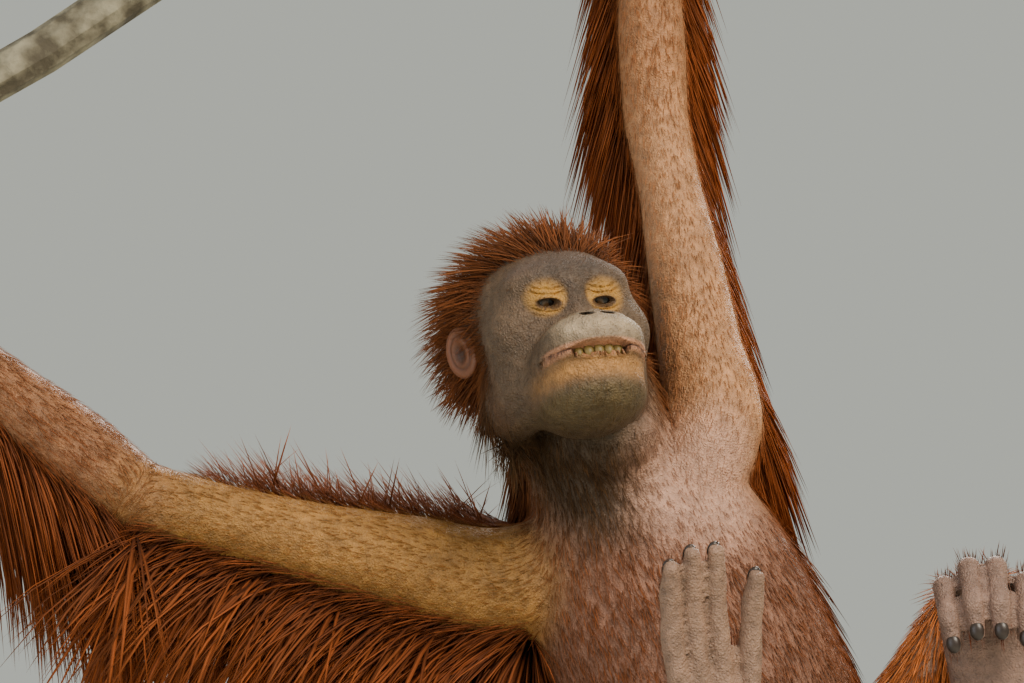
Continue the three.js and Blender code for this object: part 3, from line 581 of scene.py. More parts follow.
def lip_roll(q, way, thick):
    """Distance from the upper lip, with way 1, or from the lower one, with way -1."""
    line_y = np.interp(q[:, 0], lip_x, lip_y)
    line_z = np.interp(q[:, 0], lip_x, lip_z)
    share = np.clip(q[:, 0] / MOUTH["half"], -1, 1)
    radius = thick * (1 - 0.5 * share**2)
    past = np.maximum(np.abs(q[:, 0]) - MOUTH["half"], 0)
    z = line_z + way * (mouth_open(share) + radius * 0.8)
    return np.sqrt((q[:, 1] - line_y - 0.9) ** 2 + (q[:, 2] - z) ** 2 + past**2) - radius


def eye_frame(q):
    """Across, up and out of the slit, from the centre of the nearer eye."""
    near = q.copy()
    near[:, 0] = np.abs(near[:, 0])
    out = (near - v(EYE["x"], EYE["y"], EYE["z"])) @ look
    return out[:, 0], out[:, 2], -out[:, 1]


def in_ellipse(across, up, wide, tall):
    """0 in the middle of an ellipse, 1 on its edge."""
    return np.hypot(across / wide, up / tall)


print("lips", 2 * MOUTH["half"], "mm wide, open", (2 * mouth_open(0)).round(1), "mm")

# %% [markdown]
# The face's finer field adds lid domes over the eyes with creases that follow their edge, a rolled
# upper and lower lip, and nostril wings, and takes away the nostrils and the line of the mouth.

# %% The face's finer field
# Height above the slit and depth of each crease in the lids
LID_CREASES = ((4.8, 1.5), (7.9, 1.2), (-5.0, 0.7), (-8.2, 0.8), (-11, 0.5))
WING_AT, WING_RADII = v(7, -73, -27), v(6.5, 4.5, 3.4)
UPPER_LIP, LOWER_LIP = 2.4, 2.3


def fine_field(q):
    d = head_field(q)
    across, up, out = eye_frame(q)
    away = np.sqrt(across**2 + up**2 + out**2)
    d = soft_join(d, away - EYE["lid"], 5)
    bow = up - 0.018 * across**2
    lids = smooth(15, 6, np.abs(across)) * (out > 2) * smooth(19, 15, away)
    for height, depth in LID_CREASES:
        d += depth * np.exp(-(((bow - height) / 0.75) ** 2)) * lids
    d -= 0.45 * np.exp(-(((np.hypot(across / 8.4, up / 4.1) - 1) / 0.2) ** 2)) * (out > 4)
    front = smooth(-40, -60, q[:, 1])
    d = soft_join(d, lip_roll(q, 1, UPPER_LIP), 3.5)
    d = soft_join(d, lip_roll(q, -1, LOWER_LIP), 3.5)
    wing = to_ellipsoid(q * np.where(q[:, :1] < 0, [-1, 1, 1], 1), WING_AT, WING_RADII)
    d = soft_join(d, wing, 3)
    line = q[:, 2] - np.interp(q[:, 0], lip_x, lip_z)
    within = smooth(MOUTH["half"] + 1, MOUTH["half"] - 3, np.abs(q[:, 0]))
    d += 1.1 * np.exp(-((line / 0.8) ** 2)) * within * front
    for side in (-1, 1):
        across, up = q[:, 0] - side * NOSTRIL["x"], q[:, 2] - NOSTRIL["z"]
        slot = in_ellipse(across, up, NOSTRIL["wide"], NOSTRIL["tall"])
        d += 2.4 * smooth(1.25, 0.4, slot) * (q[:, 1] < -58)
    wrinkle = np.sin(q[:, 0] * 0.9 + 1.3 * np.sin(q[:, 2] * 0.35)) * np.exp(-(((q[:, 2] + 42) / 7) ** 2))
    return d + 0.07 * wrinkle * front


def onto(q, field, steps=3):
    """Moves points onto the surface of a field, down its slope."""
    for _ in range(steps):
        d = field(q)
        slope = np.stack([(field(q + e) - field(q - e)) / 0.8 for e in np.eye(3) * 0.4], axis=1)
        move = np.clip(d / np.maximum((slope**2).sum(axis=1), 0.2), -4, 4)
        q = q - slope * move[:, None]
    return q


print(len(LID_CREASES), "creases in each pair of lids")

# %% [markdown]
# The skin's points near the digits and the head are drawn onto these fields. That parts the toes, which
# the remesh had melted together, and draws the folds of the face. The eye slits, the mouth and the
# nostrils are then pressed in.

# %% The skin drawn onto the face and the digits
MOUTH_DEEP, NOSTRIL_DEEP = 9, 4
SLIT_FLOOR = 8.4  # from the eye's centre, so that the eyeball stands out of the slit
spots = points(skin)
distance, along = digits_field(spots)
of_digits = (distance < 5) & (distance > -5)
p = spots[of_digits]
hold = (smooth(0.12, 0.3, along[of_digits]) * smooth(5, 3, np.abs(distance[of_digits])))[:, None]
spots[of_digits] += (onto(p, lambda q: digits_field(q)[0], 2) - p) * hold
q = to_head(spots)
near = np.abs(head_field(q))
of_head = near < 6
hold = smooth(5.5, 2, near[of_head])[:, None]
drawn = onto(q[of_head], fine_field)
q_new = q[of_head] * (1 - hold) + drawn * hold

across, up, out = eye_frame(q_new)
slit = in_ellipse(across, up + SLIT["up"], SLIT["wide"], SLIT["tall"])
slit = smooth(1.06, 0.86, slit) * (out > 4) * (out < 16)
c = v(EYE["x"], EYE["y"], EYE["z"])
mirror = np.where(q_new[:, :1] < 0, -1.0, 1.0) * [1, 0, 0] + [0, 1, 1]
from_eye = q_new * mirror - c
away = np.linalg.norm(from_eye, axis=1)
pressed = away + (SLIT_FLOOR - away) * slit
q_new = (c + from_eye * (pressed / np.maximum(away, 1e-6))[:, None]) * mirror

rise = q_new[:, 2] - np.interp(q_new[:, 0], lip_x, lip_z)
gap = mouth_open(np.clip(q_new[:, 0] / MOUTH["half"], -1, 1))
inner = smooth(1.3, 0.55, np.abs(rise) / np.maximum(gap, 0.5)) * smooth(0.35, 0.9, gap)
inner = inner * (q_new[:, 1] < -30)
q_new[:, 1] += inner * MOUTH_DEEP
across = np.abs(q_new[:, 0]) - NOSTRIL["x"]
up = q_new[:, 2] - NOSTRIL["z"] + across * 0.2
nostril = in_ellipse(across, up, NOSTRIL["wide"] - 0.2, NOSTRIL["tall"])
q_new[:, 1] += smooth(1.1, 0.5, nostril) * (q_new[:, 1] < -58) * NOSTRIL_DEEP
spots[of_head] = from_head(q_new)
put(skin, spots)
bpy.ops.object.shade_smooth()
print("drew", int(of_head.sum()), "points onto the face")

# %% [markdown]
# Maps over the skin. For each of its points the nearest runs are blended, so that the length, lie and
# colour of the hair change smoothly from one part to the next. A real coat changes the same way: short
# and thin on the inner side of a limb, long along its outer edge.

# %% Maps of the limbs and the trunk
# The left arm and leg are given lighter colours than the right ones: painted light where the key lamp
# falls, and painted shade on the other side; the right arm's ochre skin is partly its own colour and partly
# painted yellowish light in its shade
# Part: lie along the run, long and short hair, side of the long hair, hair and skin colours
COATS = {
    "trunk": (0.9, 76, 14, (0, 1, 0.1), "#74411f", "#8a5f48"),
    "neck": (-0.9, 60, 15, (0, 1, 0.2), "#6b4122", "#7a5f48"),
    "upper_arm_right": (0.45, 104, 9, (0, 0.8, -0.6), "#79401c", "#a07236"),
    "forearm_right": (-0.45, 104, 12, (0, 0.7, -0.7), "#79401c", "#966540"),
    "upper_arm_left": (-0.55, 96, 9, (0, 1, -0.1), "#86481e", "#bb875c"),
    "forearm_left": (-0.55, 96, 10, (0, 1, -0.1), "#86481e", "#a8744a"),
    "thigh_right": (0.5, 70, 24, (-0.2, 0.5, -0.85), "#8a4c28", "#9a7258"),
    "shank_right": (0.4, 62, 20, (-0.2, 0.2, -0.95), "#8a4c28", "#9a7258"),
    "thigh_left": (-0.1, 66, 26, (0.87, 0.45, -0.2), "#a4602f", "#9a7258"),
    "shank_left": (0.5, 60, 22, (0.87, 0.4, -0.3), "#a4602f", "#9a7258"),
    "hand_right": (-0.6, 13, 0, (0, 1, 0), "#6b3319", "#6f5a4c"),
    "hand_left": (-0.6, 13, 0, (0, 1, 0), "#6b3319", "#6f5a4c"),
    "foot_right": (0.6, 13, 0, (0, 1, 0), "#6b3319", "#94745f"),
    "foot_left": (0.6, 13, 0, (0, 1, 0), "#6b3319", "#84685a"),
}


def colour(hex_code):
    """sRGB hex to linear RGB."""
    parts = np.array([int(hex_code[i : i + 2], 16) / 255 for i in (1, 3, 5)])
    return np.where(parts < 0.04045, parts / 12.92, ((parts + 0.055) / 1.055) ** 2.4)


def skin_maps(p, normal):
    """Length, lie and colour of the hair and colour of the skin at points p."""
    total = np.zeros(len(p))
    sums = {k: np.zeros((len(p), 3)) for k in ("lie", "hair", "skin")}
    sums["length"] = np.zeros(len(p))
    for part, (lean, long, short, away, hair, flesh_colour) in COATS.items():
        away = unit(np.array(PALM_AWAY.get(part, away), float))
        for r in hand_runs.get(part, [RUNS[part]] if part in RUNS else []):
            index, distance = nearest(p, r)
            weight = np.exp(-np.maximum(distance + 4, 0) / 6)
            turn = normal @ away
            length = short + (long - short) * smooth(-0.15, 0.75, turn)
            total += weight
            sums["length"] += weight * length
            sums["lie"] += weight[:, None] * r["along"][index] * lean
            sums["hair"] += weight[:, None] * colour(hair)
            sums["skin"] += weight[:, None] * colour(flesh_colour)
    for key, value in sums.items():
        sums[key] = value / (total if value.ndim == 1 else total[:, None])
    return sums


spots = points(skin)
normals = np.empty(len(spots) * 3)
skin.data.vertices.foreach_get("normal", normals)
normals = normals.reshape(-1, 3)
maps = skin_maps(spots, normals)
print("maps over", len(spots), "points of the skin")

# %% [markdown]
# The head has maps of its own: a bare face, short hair down the cheeks and round the ear, and long hair
# that radiates from the crown.

# %% Hair of the head
EAR = {"x": 57, "y": 10, "z": -14, "tall": 14, "deep": 10}
q = to_head(spots)
head_weight = smooth(9, 2, head_field(q))
x, y, z = np.abs(q[:, 0]), q[:, 1], q[:, 2]
brow_line = smooth(22, 31, z + 0.25 * (y + 40) - 0.1 * x)
side_of_face = smooth(-26, -8, y)
hairy = np.maximum(brow_line, side_of_face)
low = smooth(-20, -50, z)
head_length = 2.5 + hairy * (44 - 26 * low * smooth(20, 0, y) - 8)
chin = smooth(-66, -76, z) * smooth(-20, -60, y)
head_length += chin * 5
from_ear = np.hypot(y - 2, (z - EAR["z"]) * 0.8)
by_ear = smooth(30, 12, from_ear) * smooth(30, 44, x)
head_length *= 1 - 0.5 * by_ear
radiate = unit(unit(q - v(0, -48, 8)) + v(0, 0.6, 0.35))
down_cheek = v(0, 0.35, -1)
head_lie = radiate * (1 - low[:, None]) + down_cheek * low[:, None]
head_lie = head_lie @ HEAD_AXES.T
hair_head = colour("#74421f") + (colour("#54391f") - colour("#74421f")) * low[:, None]
print("hair of the head up to", head_length.max().round(1), "mm")

# %% [markdown]
# Skin colours of the face, laid one over the other as a painter of models would: a grey brown ground, a
# darker brow, ochre lids, a pale muzzle, flesh-coloured lips, a tan band under them and a dark chin.
# Painted shade goes round the inner corners of the eyes, along the line of the mouth and into the nostrils.

# %% Colours of the face


def tint(mix, hex_code, amount):
    """A colour laid over another, as strongly as amount says."""
    return mix + (colour(hex_code) - mix) * np.clip(amount, 0, 1)[:, None]


mix = np.tile(colour("#604b36"), (len(q), 1))
across, up, out = eye_frame(q)
mouth_far = np.abs(z - MOUTH["middle"])
front = smooth(-30, -45, y)
mix = tint(mix, "#5a493e", smooth(4, 16, z) * front * 0.8)
mix = tint(mix, "#8a7460", smooth(18, 8, np.hypot(x, z + 38)) * front * 0.5)
mix = tint(mix, "#b09a7c", np.exp(-(((z + 41) / 10) ** 2)) * smooth(34, 18, x) * smooth(-50, -66, y))
by_eye = smooth(20, 15, np.sqrt(across**2 + up**2 + out**2)) * (out > 0)
# Painted shade in the hollows round the inner corners of the eyes, under the brow
mix = tint(mix, "#473a30", smooth(24, 12, np.hypot(x - 8, z - 2)) * front * 0.55)
mix = tint(mix, "#bd8a38", smooth(15, 6, np.hypot(across * 0.85, up - 2.5)) * by_eye * 0.9)
slit = in_ellipse(across, up + SLIT["up"], SLIT["wide"], SLIT["tall"])
mix = tint(mix, "#3d2819", smooth(1.3, 1.05, slit) * by_eye * 0.9)
mix = tint(mix, "#b58043", np.exp(-(((z + 65) / 7) ** 2)) * smooth(44, 20, x) * smooth(-30, -50, y) * 0.9)
mix = tint(mix, "#5c4c2b", smooth(-70, -80, z) * 0.85)
on_muzzle = smooth(-45, -60, y)
mix = tint(mix, "#c58a66", smooth(4.4, 2.2, mouth_far) * smooth(34, 30, x) * on_muzzle * 0.85)
# Painted shade along the line of the mouth, in the gap between the lips
mix = tint(mix, "#3b2018", smooth(1.1, 0.5, mouth_far) * smooth(33, 30, x) * on_muzzle * 0.9)
mix = tint(mix, "#5c4028", side_of_face * 0.8)
# Painted shade: the nostrils nearly black inside
nostril = in_ellipse(x - NOSTRIL["x"], z - NOSTRIL["z"], NOSTRIL["wide"], NOSTRIL["tall"])
mix = tint(mix, "#1d1410", smooth(1.25, 0.8, nostril) * (y < -54) * 0.95)
print("mouth and eyes tinted on", int((on_muzzle > 0).sum()), "points")

# %% [markdown]
# The head's maps are blended into the others. The throat is darker and thickly haired, the chest is
# nearly bare, and above the right upper arm the hair stands up.

# %% Throat, chest and arm
DARK_THROAT_AT, CHEST_AT, NIPPLE_AT = v(-92, -58, 636), v(-20, -38, 628), v(-26, -40, 627)
RUFF_LENGTH = 46
for key, value in (("skin", mix), ("hair", hair_head), ("lie", head_lie)):
    maps[key] = maps[key] * (1 - head_weight[:, None]) + value * head_weight[:, None]
maps["length"] = maps["length"] * (1 - head_weight) + head_length * head_weight
throat_weight = smooth(72, 36, np.linalg.norm(spots - DARK_THROAT_AT, axis=1))
maps["hair"] = tint(maps["hair"], "#4a3620", throat_weight * 0.9)
maps["skin"] = tint(maps["skin"], "#473724", throat_weight * 0.9)
# The pale chest is partly its bare skin's own colour and partly painted light where the key lamp falls on
# it
chest = smooth(70, 22, np.linalg.norm(spots - CHEST_AT, axis=1))
maps["skin"] = tint(maps["skin"], "#c79a82", chest * 0.85)
nipple = smooth(5, 2.5, np.linalg.norm((spots - NIPPLE_AT) * [1, 0.3, 1], axis=1))
maps["skin"] = tint(maps["skin"], "#8d5a4c", nipple * 0.8)
maps["length"] = maps["length"] * (1 - 0.5 * chest)
on_arm = smooth(-345, -300, spots[:, 0]) * smooth(-110, -150, spots[:, 0]) * smooth(560, 585, spots[:, 2])
ruff = on_arm * smooth(0.35, 0.8, normals @ unit(v(0, 0.7, 0.7))) * (1 - head_weight)
maps["length"] = maps["length"] * (1 - ruff) + RUFF_LENGTH * ruff
maps["lie"] += (ruff * 1.2)[:, None] * v(-0.5, 0.2, 0.8)
maps["stand"] = np.maximum(ruff, head_weight * hairy * (1 - low) * 0.42)
print("hair from", maps["length"].min().round(1), "to", maps["length"].max().round(1), "mm")


def add_colour(obj, name, values):
    """A colour for each point, as an attribute that a material can read."""
    layer = obj.data.attributes.new(name, "FLOAT_COLOR", "POINT")
    layer.data.foreach_set("color", np.c_[values, np.ones(len(values))].ravel())


# The skin's colours, with the painted shade of the eye hollows, the mouth and the nostrils
add_colour(skin, "markings_and_painted_shading", maps["skin"])

# %% [markdown]
# The skin is unwrapped on its own shape. The tufts take their place on the same map.

# %% Unwrap
bpy.ops.object.select_all(action="DESELECT")
skin.select_set(True)
bpy.context.view_layer.objects.active = skin
skin.data.uv_layers.new(name="OFBake")
bpy.ops.object.mode_set(mode="EDIT")
bpy.ops.mesh.select_all(action="SELECT")
bpy.ops.uv.smart_project(angle_limit=math.radians(70), island_margin=0.001)
bpy.ops.object.mode_set(mode="OBJECT")
print("unwrapped", skin.data.uv_layers.active.name)

# %% [markdown]
# The coat. Orangutan hair is long, coarse and sparse, and hangs in strands from the arms and back.
# Each strand is a closed, tapered, three-sided tuft in three steps. Their roots are scattered over the
# skin's triangles with a fixed seed, more of them where the hair is long or stands up.

# %% Roots of the tufts
TUFTS = 90000
# Length of hair, and how closely it grows
CLOSENESS = ([0.5, 2, 8, 16, 34], [0, 0.45, 0.5, 1.0, 1.1])
rng = np.random.default_rng(11)
mesh = skin.data
mesh.calc_loop_triangles()
count = len(mesh.loop_triangles)
corner = np.empty(count * 3, int)
mesh.loop_triangles.foreach_get("vertices", corner)
corner = corner.reshape(-1, 3)
loops = np.empty(count * 3, int)
mesh.loop_triangles.foreach_get("loops", loops)
loops = loops.reshape(-1, 3)
uv = np.empty(len(mesh.loops) * 2)
mesh.uv_layers["OFBake"].data.foreach_get("uv", uv)
uv = uv.reshape(-1, 2)
first, second, third = (spots[corner[:, i]] for i in range(3))
area = np.linalg.norm(np.cross(second - first, third - first), axis=1) / 2
length = maps["length"][corner].mean(axis=1)
want = area * np.interp(length, *CLOSENESS)
want *= 1 + 1.3 * (maps["stand"][corner].mean(axis=1) > 0.1)
slot = np.searchsorted(np.cumsum(want), rng.random(TUFTS) * want.sum())
slot = np.clip(slot, 0, count - 1)
share = rng.dirichlet((1, 1, 1), TUFTS)


def mixed(values):
    """A map's values at the roots."""
    return (values[corner[slot]] * share.reshape(TUFTS, 3, *[1] * (values.ndim - 1))).sum(axis=1)


root = mixed(spots)
grow = unit(mixed(normals))
long = mixed(maps["length"]) * rng.uniform(0.5, 1.2, TUFTS)
root_uv = (uv[loops[slot]] * share[:, :, None]).sum(axis=1)
stand = mixed(maps["stand"])
print(TUFTS, "roots over", round(area.sum() / 1e4), "square centimetres")

# %% [markdown]
# The tufts lie along the maps, sag with their length, and are pushed clear of the skin. Short hair takes
# on the skin's colour, since the skin shows through it.

# %% How the tufts lie
STEPS = np.array([0, 0.33, 0.68, 1.0])
# Length of hair, and half the width of a tuft
THICKNESS = ([2, 12, 40, 100], [0.17, 0.27, 0.75, 1.45])
ROOT_UNDER, LEAST_CLEAR = 1.2, 0.5
tone = mixed(maps["hair"])
tone += (mixed(maps["skin"]) * 0.75 - tone) * (0.8 * smooth(17, 9, long))[:, None]
on_top = smooth(9, 2, head_field(to_head(root)))
fall = smooth(14, 60, long)
lie = unit(mixed(maps["lie"])) + DOWN * (2.0 * fall * (1 - 0.75 * on_top))[:, None]
lie += rng.normal(0, 1, (TUFTS, 3)) * (0.16 + 0.22 * stand)[:, None]
lie -= grow * (lie * grow).sum(axis=1)[:, None]
lie = unit(unit(lie) + grow * (0.16 + 0.32 * fall + 0.7 * stand)[:, None])
sag = (0.38 * fall * (1 - 0.75 * np.maximum(on_top, stand)))[:, None]
thick = np.interp(long, *THICKNESS) * rng.uniform(0.6, 1.35, TUFTS)
thick *= 1 - 0.35 * np.maximum(on_top, smooth(0.05, 0.4, stand))

rows = [
    root + lie * (long * step)[:, None] + DOWN * sag * (long * step**2)[:, None] for step in STEPS
]
rows[0] = root - grow * ROOT_UNDER
tree = BVHTree.FromPolygons(spots.tolist(), corner.tolist(), all_triangles=True)
for k in (1, 2, 3):
    clear = LEAST_CLEAR + 1.8 * STEPS[k] * smooth(3, 30, long) * rng.uniform(0.4, 1.6, TUFTS)
    for i, p in enumerate(rows[k]):
        hit, normal, _, _ = tree.find_nearest(p)
        side = (Vector(p) - hit).dot(normal)
        if side < clear[i]:
            rows[k][i] = np.array(hit + normal * clear[i])
print(TUFTS, "tufts,", long.mean().round(1), "mm long on average")

# %% [markdown]
# Each tuft is three rings of three points and a tip. Its root is darker and its tip lighter, partly as on
# real hair and partly as painted shade deep in the coat and painted light on its outer tips, and each has a
# shade of its own. On the shared map it takes a small patch where it grows.

# %% Meshes of the tufts
# Width and lightness of each ring, and of the tip; the dark root is partly painted shade, the light tip
# partly painted light
PROFILE = np.array([0.75, 1.0, 0.7, 0.0])
LIGHTNESS = np.array([0.55, 0.8, 1.1, 1.4])
PATCH = 0.003
TUFT_FACES = [(0, 2, 1)]
for k in (0, 3):
    for j in range(3):
        i0, i1 = k + j, k + (j + 1) % 3
        TUFT_FACES += [(i0, i1, i1 + 3), (i0, i1 + 3, i0 + 3)]
TUFT_FACES += [(6 + j, 6 + (j + 1) % 3, 9) for j in range(3)]
print(len(TUFT_FACES), "faces in a tuft")


def tuft_mesh(name, pick, material):
    """The picked tufts as one joined mesh."""
    n = len(pick)
    line = np.stack([r[pick] for r in rows], axis=1)
    heading = unit(np.gradient(line, axis=1))
    up = grow[pick][:, None, :]
    across = unit(np.cross(heading, up))
    lift = np.cross(across, heading)
    wide = (thick[pick][:, None] * PROFILE)[..., None]
    ring = []
    for angle in (90, 210, 330):
        u, w = math.cos(math.radians(angle)), math.sin(math.radians(angle))
        ring.append(line + across * wide * u + lift * wide * w * 0.45)
    ring = np.stack(ring, axis=2)
    body = ring[:, :3].reshape(n, 9, 3)
    tip = line[:, 3:4]
    verts = np.concatenate([body, tip], axis=1).reshape(-1, 3)
    faces = (np.arange(n)[:, None, None] * 10 + np.array(TUFT_FACES)).reshape(-1, 3)
    data = bpy.data.meshes.new(name)
    data.vertices.add(len(verts))
    data.vertices.foreach_set("co", (verts * MM).ravel())
    data.loops.add(faces.size)
    data.loops.foreach_set("vertex_index", faces.ravel())
    data.polygons.add(len(faces))
    data.polygons.foreach_set("loop_start", np.arange(len(faces)) * 3)
    data.update(calc_edges=True)
    data.polygons.foreach_set("use_smooth", np.ones(len(faces), bool))
    obj = bpy.data.objects.new(name, data)
    bpy.context.scene.collection.objects.link(obj)
    # From root to tip the hair grows lighter: partly its own colour, partly painted shade deep in the coat
    # and painted light on the tips
    light = np.repeat(LIGHTNESS, (3, 3, 3, 1))
    own = rng.uniform(0.55, 1.35, n)[:, None, None] * light[None, :, None]
    even = rng.uniform(0.85, 1.15, n)[:, None, None]
    own += (even - own) * (smooth(18, 9, long[pick]) * 0.9)[:, None, None]
    warm = rng.uniform(0, 1, n)[:, None, None] * np.array([0.25, 0.12, 0])
    shade = tone[pick][:, None, :] * own * (1 + warm)
    add_colour(obj, "markings_and_painted_shading", shade.reshape(-1, 3))
    patch = np.array([(j % 3 / 2 - 0.5, j // 3 / 3 - 0.5) for j in range(10)]) * PATCH
    place = (root_uv[pick][:, None, :] + patch).reshape(-1, 2)
    layer = data.uv_layers.new(name="OFBake")
    layer.data.foreach_set("uv", np.clip(place[faces.ravel()], 0, 1).ravel())
    data.materials.append(material)
    return obj


# %% [markdown]
# Materials. Every colour is a plain sRGB code, and every pattern is procedural in Object coordinates.
# Small helpers make a material, add a node to it, link it, lay bumps one over the other, and move a
# value to another range.


# %% Helpers for materials
def new_material(name, hex_code, roughness, **sockets):
    """A Principled material, and its shader node."""
    material = bpy.data.materials.new(name)
    material.use_nodes = True
    shader = material.node_tree.nodes["Principled BSDF"]
    shader.inputs["Base Color"].default_value = (*colour(hex_code), 1)
    shader.inputs["Roughness"].default_value = roughness
    for socket, value in sockets.items():
        shader.inputs[socket.replace("_", " ")].default_value = value
    return material, shader


def add_node(material, kind, **settings):
    """A node with its settings: sockets by their names, and properties by theirs."""
    node = material.node_tree.nodes.new("ShaderNode" + kind)
    for key, value in settings.items():
        if key in node.inputs:
            node.inputs[key].default_value = value
        else:
            setattr(node, key, value)
    return node


def link(material, a, b):
    """Joins an output to an input."""
    material.node_tree.links.new(a, b)


def bump(material, shader, textures):
    """textures is a list of (node output, distance in metres), laid one on the other."""
    last = None
    for output, distance in textures:
        node = add_node(material, "Bump", Strength=1.0, Distance=distance)
        link(material, output, node.inputs["Height"])
        if last:
            link(material, last, node.inputs["Normal"])
        last = node.outputs["Normal"]
    link(material, last, shader.inputs["Normal"])


def remap(material, value, low, high, to_low, to_high):
    """A value from low to high, moved to lie from to_low to to_high."""
    node = add_node(material, "MapRange")
    for socket, end in zip(("From Min", "From Max", "To Min", "To Max"), (low, high, to_low, to_high)):
        node.inputs[socket].default_value = end
    link(material, value, node.inputs["Value"])
    return node.outputs[0]


# %% [markdown]
# The skin of a model like this is moulded silicone, painted and powdered: satin, and a little
# translucent, so light goes some millimetres into it. Mottles and blotches vary the painted markings
# and the painted shade laid in with them, and mottles, creases and pores are its relief.

# %% Skin and hair materials
# Patterns to a metre: mottles are 6 mm apart, blotches 29 mm, creases 2.1 mm and pores 1.1 mm
MOTTLES, BLOTCHES, CREASES, PORES = 160.0, 35.0, 480.0, 900.0
skin_material, shader = new_material("bare skin", "#8d6a56", 0.55, Subsurface_Weight=0.08)
shader.inputs["Subsurface Radius"].default_value = (0.004, 0.002, 0.001)
shader.inputs["Subsurface Scale"].default_value = 0.6
where = add_node(skin_material, "TexCoord").outputs["Object"]
markings_and_painted_shading = add_node(skin_material, "Attribute", attribute_name="markings_and_painted_shading")
mottle = add_node(skin_material, "TexNoise", Scale=MOTTLES, Detail=6.0)
blotch = add_node(skin_material, "TexNoise", Scale=BLOTCHES, Detail=3.0)
crease = add_node(skin_material, "TexVoronoi", Scale=CREASES, feature="DISTANCE_TO_EDGE")
pore = add_node(skin_material, "TexNoise", Scale=PORES, Detail=3.0)
for texture in (mottle, blotch, crease, pore):
    link(skin_material, where, texture.inputs["Vector"])
both = add_node(skin_material, "Math", operation="MULTIPLY")
link(skin_material, remap(skin_material, mottle.outputs[0], 0.3, 0.7, 0.72, 1.22), both.inputs[0])
link(skin_material, remap(skin_material, blotch.outputs[0], 0.35, 0.65, 0.85, 1.1), both.inputs[1])
tinted = add_node(skin_material, "VectorMath", operation="SCALE")
link(skin_material, markings_and_painted_shading.outputs["Color"], tinted.inputs[0])
link(skin_material, both.outputs[0], tinted.inputs["Scale"])
link(skin_material, tinted.outputs[0], shader.inputs["Base Color"])
creased = crease.outputs["Distance"]
relief = [(mottle.outputs[0], 2.2 * MM), (creased, 1.2 * MM), (pore.outputs[0], 0.6 * MM)]
bump(skin_material, shader, relief)

# Dyed hair that isn't oiled: it scatters light widely, with a faint sheen
hair_material, shader = new_material("coat hair", "#6b3319", 0.7, Specular_IOR_Level=0.25)
markings_and_painted_shading = add_node(hair_material, "Attribute", attribute_name="markings_and_painted_shading")
link(hair_material, markings_and_painted_shading.outputs["Color"], shader.inputs["Base Color"])
print("materials", skin_material.name, "and", hair_material.name)

# %% [markdown]
# The skin takes the place of the flesh nodes. The tufts are sorted by height and then across, and cut
# into pieces, so that each piece stays light and belongs to one stretch of the body.

# %% Skin and coat in their places
PER_PIECE, BAND = 12000, 160
skin.data.materials.clear()
skin.data.materials.append(skin_material)
flesh_nodes = ["torso", "neck", "head"] + [
    part + "_" + side
    for part in ("upper_arm", "forearm", "hand", "thigh", "shank", "foot")
    for side in ("right", "left")
]
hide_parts(*flesh_nodes)
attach(skin, "root")

order = np.lexsort((root[:, 0], np.rint(root[:, 2] / BAND)))
for start in range(0, TUFTS, PER_PIECE):
    pick = order[start : start + PER_PIECE]
    piece = tuft_mesh("coat_%d" % (start // PER_PIECE + 1), pick, hair_material)
    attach(piece, "root")
print("coat of", TUFTS * len(TUFT_FACES), "triangles")

# %% [markdown]
# Eyes. A glass eye is a clear ball over a painted iris; here the iris, pupil and white are one map of
# the angle from the gaze, under a thin glossy coat.

# %% Eyes
GAZE = unit(v(0.34, -0.84, -0.42))
eye_material, shader = new_material("wet eye", "#2c2016", 0.2, Coat_Weight=0.3, Specular_IOR_Level=0.35)
shader.inputs["Coat Roughness"].default_value = 0.05
turn = add_node(eye_material, "Attribute", attribute_name="turn")
ramp = add_node(eye_material, "ValToRGB")
# Shares of a right angle from the gaze: pupil, iris, its dark rim, and the brown white of the eye
stops = [
    (0.0, "#060403"),
    (0.19, "#060403"),
    (0.22, "#3b2713"),
    (0.40, "#4a3319"),
    (0.47, "#150d08"),
    (0.6, "#3a2a20"),
    (1.0, "#8a7a6c"),
]
band = ramp.color_ramp
for place, _ in stops[1:-1]:
    band.elements.new(place)
for element, (_, hex_code) in zip(band.elements, stops):
    element.color = (*colour(hex_code), 1)
link(eye_material, turn.outputs["Fac"], ramp.inputs["Fac"])
link(eye_material, ramp.outputs["Color"], shader.inputs["Base Color"])
for side, s in (("right", -1), ("left", 1)):
    bpy.ops.mesh.primitive_uv_sphere_add(segments=64, ring_count=48, radius=EYE["radius"] * MM)
    eye = bpy.context.object
    eye.name = "eyeball_" + side
    ball = points(eye)
    at = from_head(v(s * EYE["x"], EYE["y"], EYE["z"])[None])[0]
    angle = np.degrees(np.arccos(np.clip(unit(ball) @ (HEAD_AXES @ GAZE), -1, 1)))
    put(eye, ball + at)
    layer = eye.data.attributes.new("turn", "FLOAT", "POINT")
    layer.data.foreach_set("value", angle / 90)
    bpy.ops.object.shade_smooth()
    eye.data.materials.append(eye_material)
    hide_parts("eye_" + side)
    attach(eye, "root")
    print(eye.name, "at", at.round(1))

# %% [markdown]
# Teeth and nails: small rounded pieces, sunk in the gum and in the tips of the digits. Teeth are cast
# resin, stained and a little glossy, and nails are the same, nearly black.

# %% Teeth and nails
TEETH_AT = (-0.44, -0.26, -0.07, 0.12, 0.3)  # shares of half the mouth
TOOTH_RADII, TOOTH_BACK, TOOTH_DOWN = (3.1, 2.0, 4.4), 7.0, 0.6
tooth_material, _ = new_material("tooth", "#7d6833", 0.45)
nail_material, _ = new_material("nail", "#2d231d", 0.35)


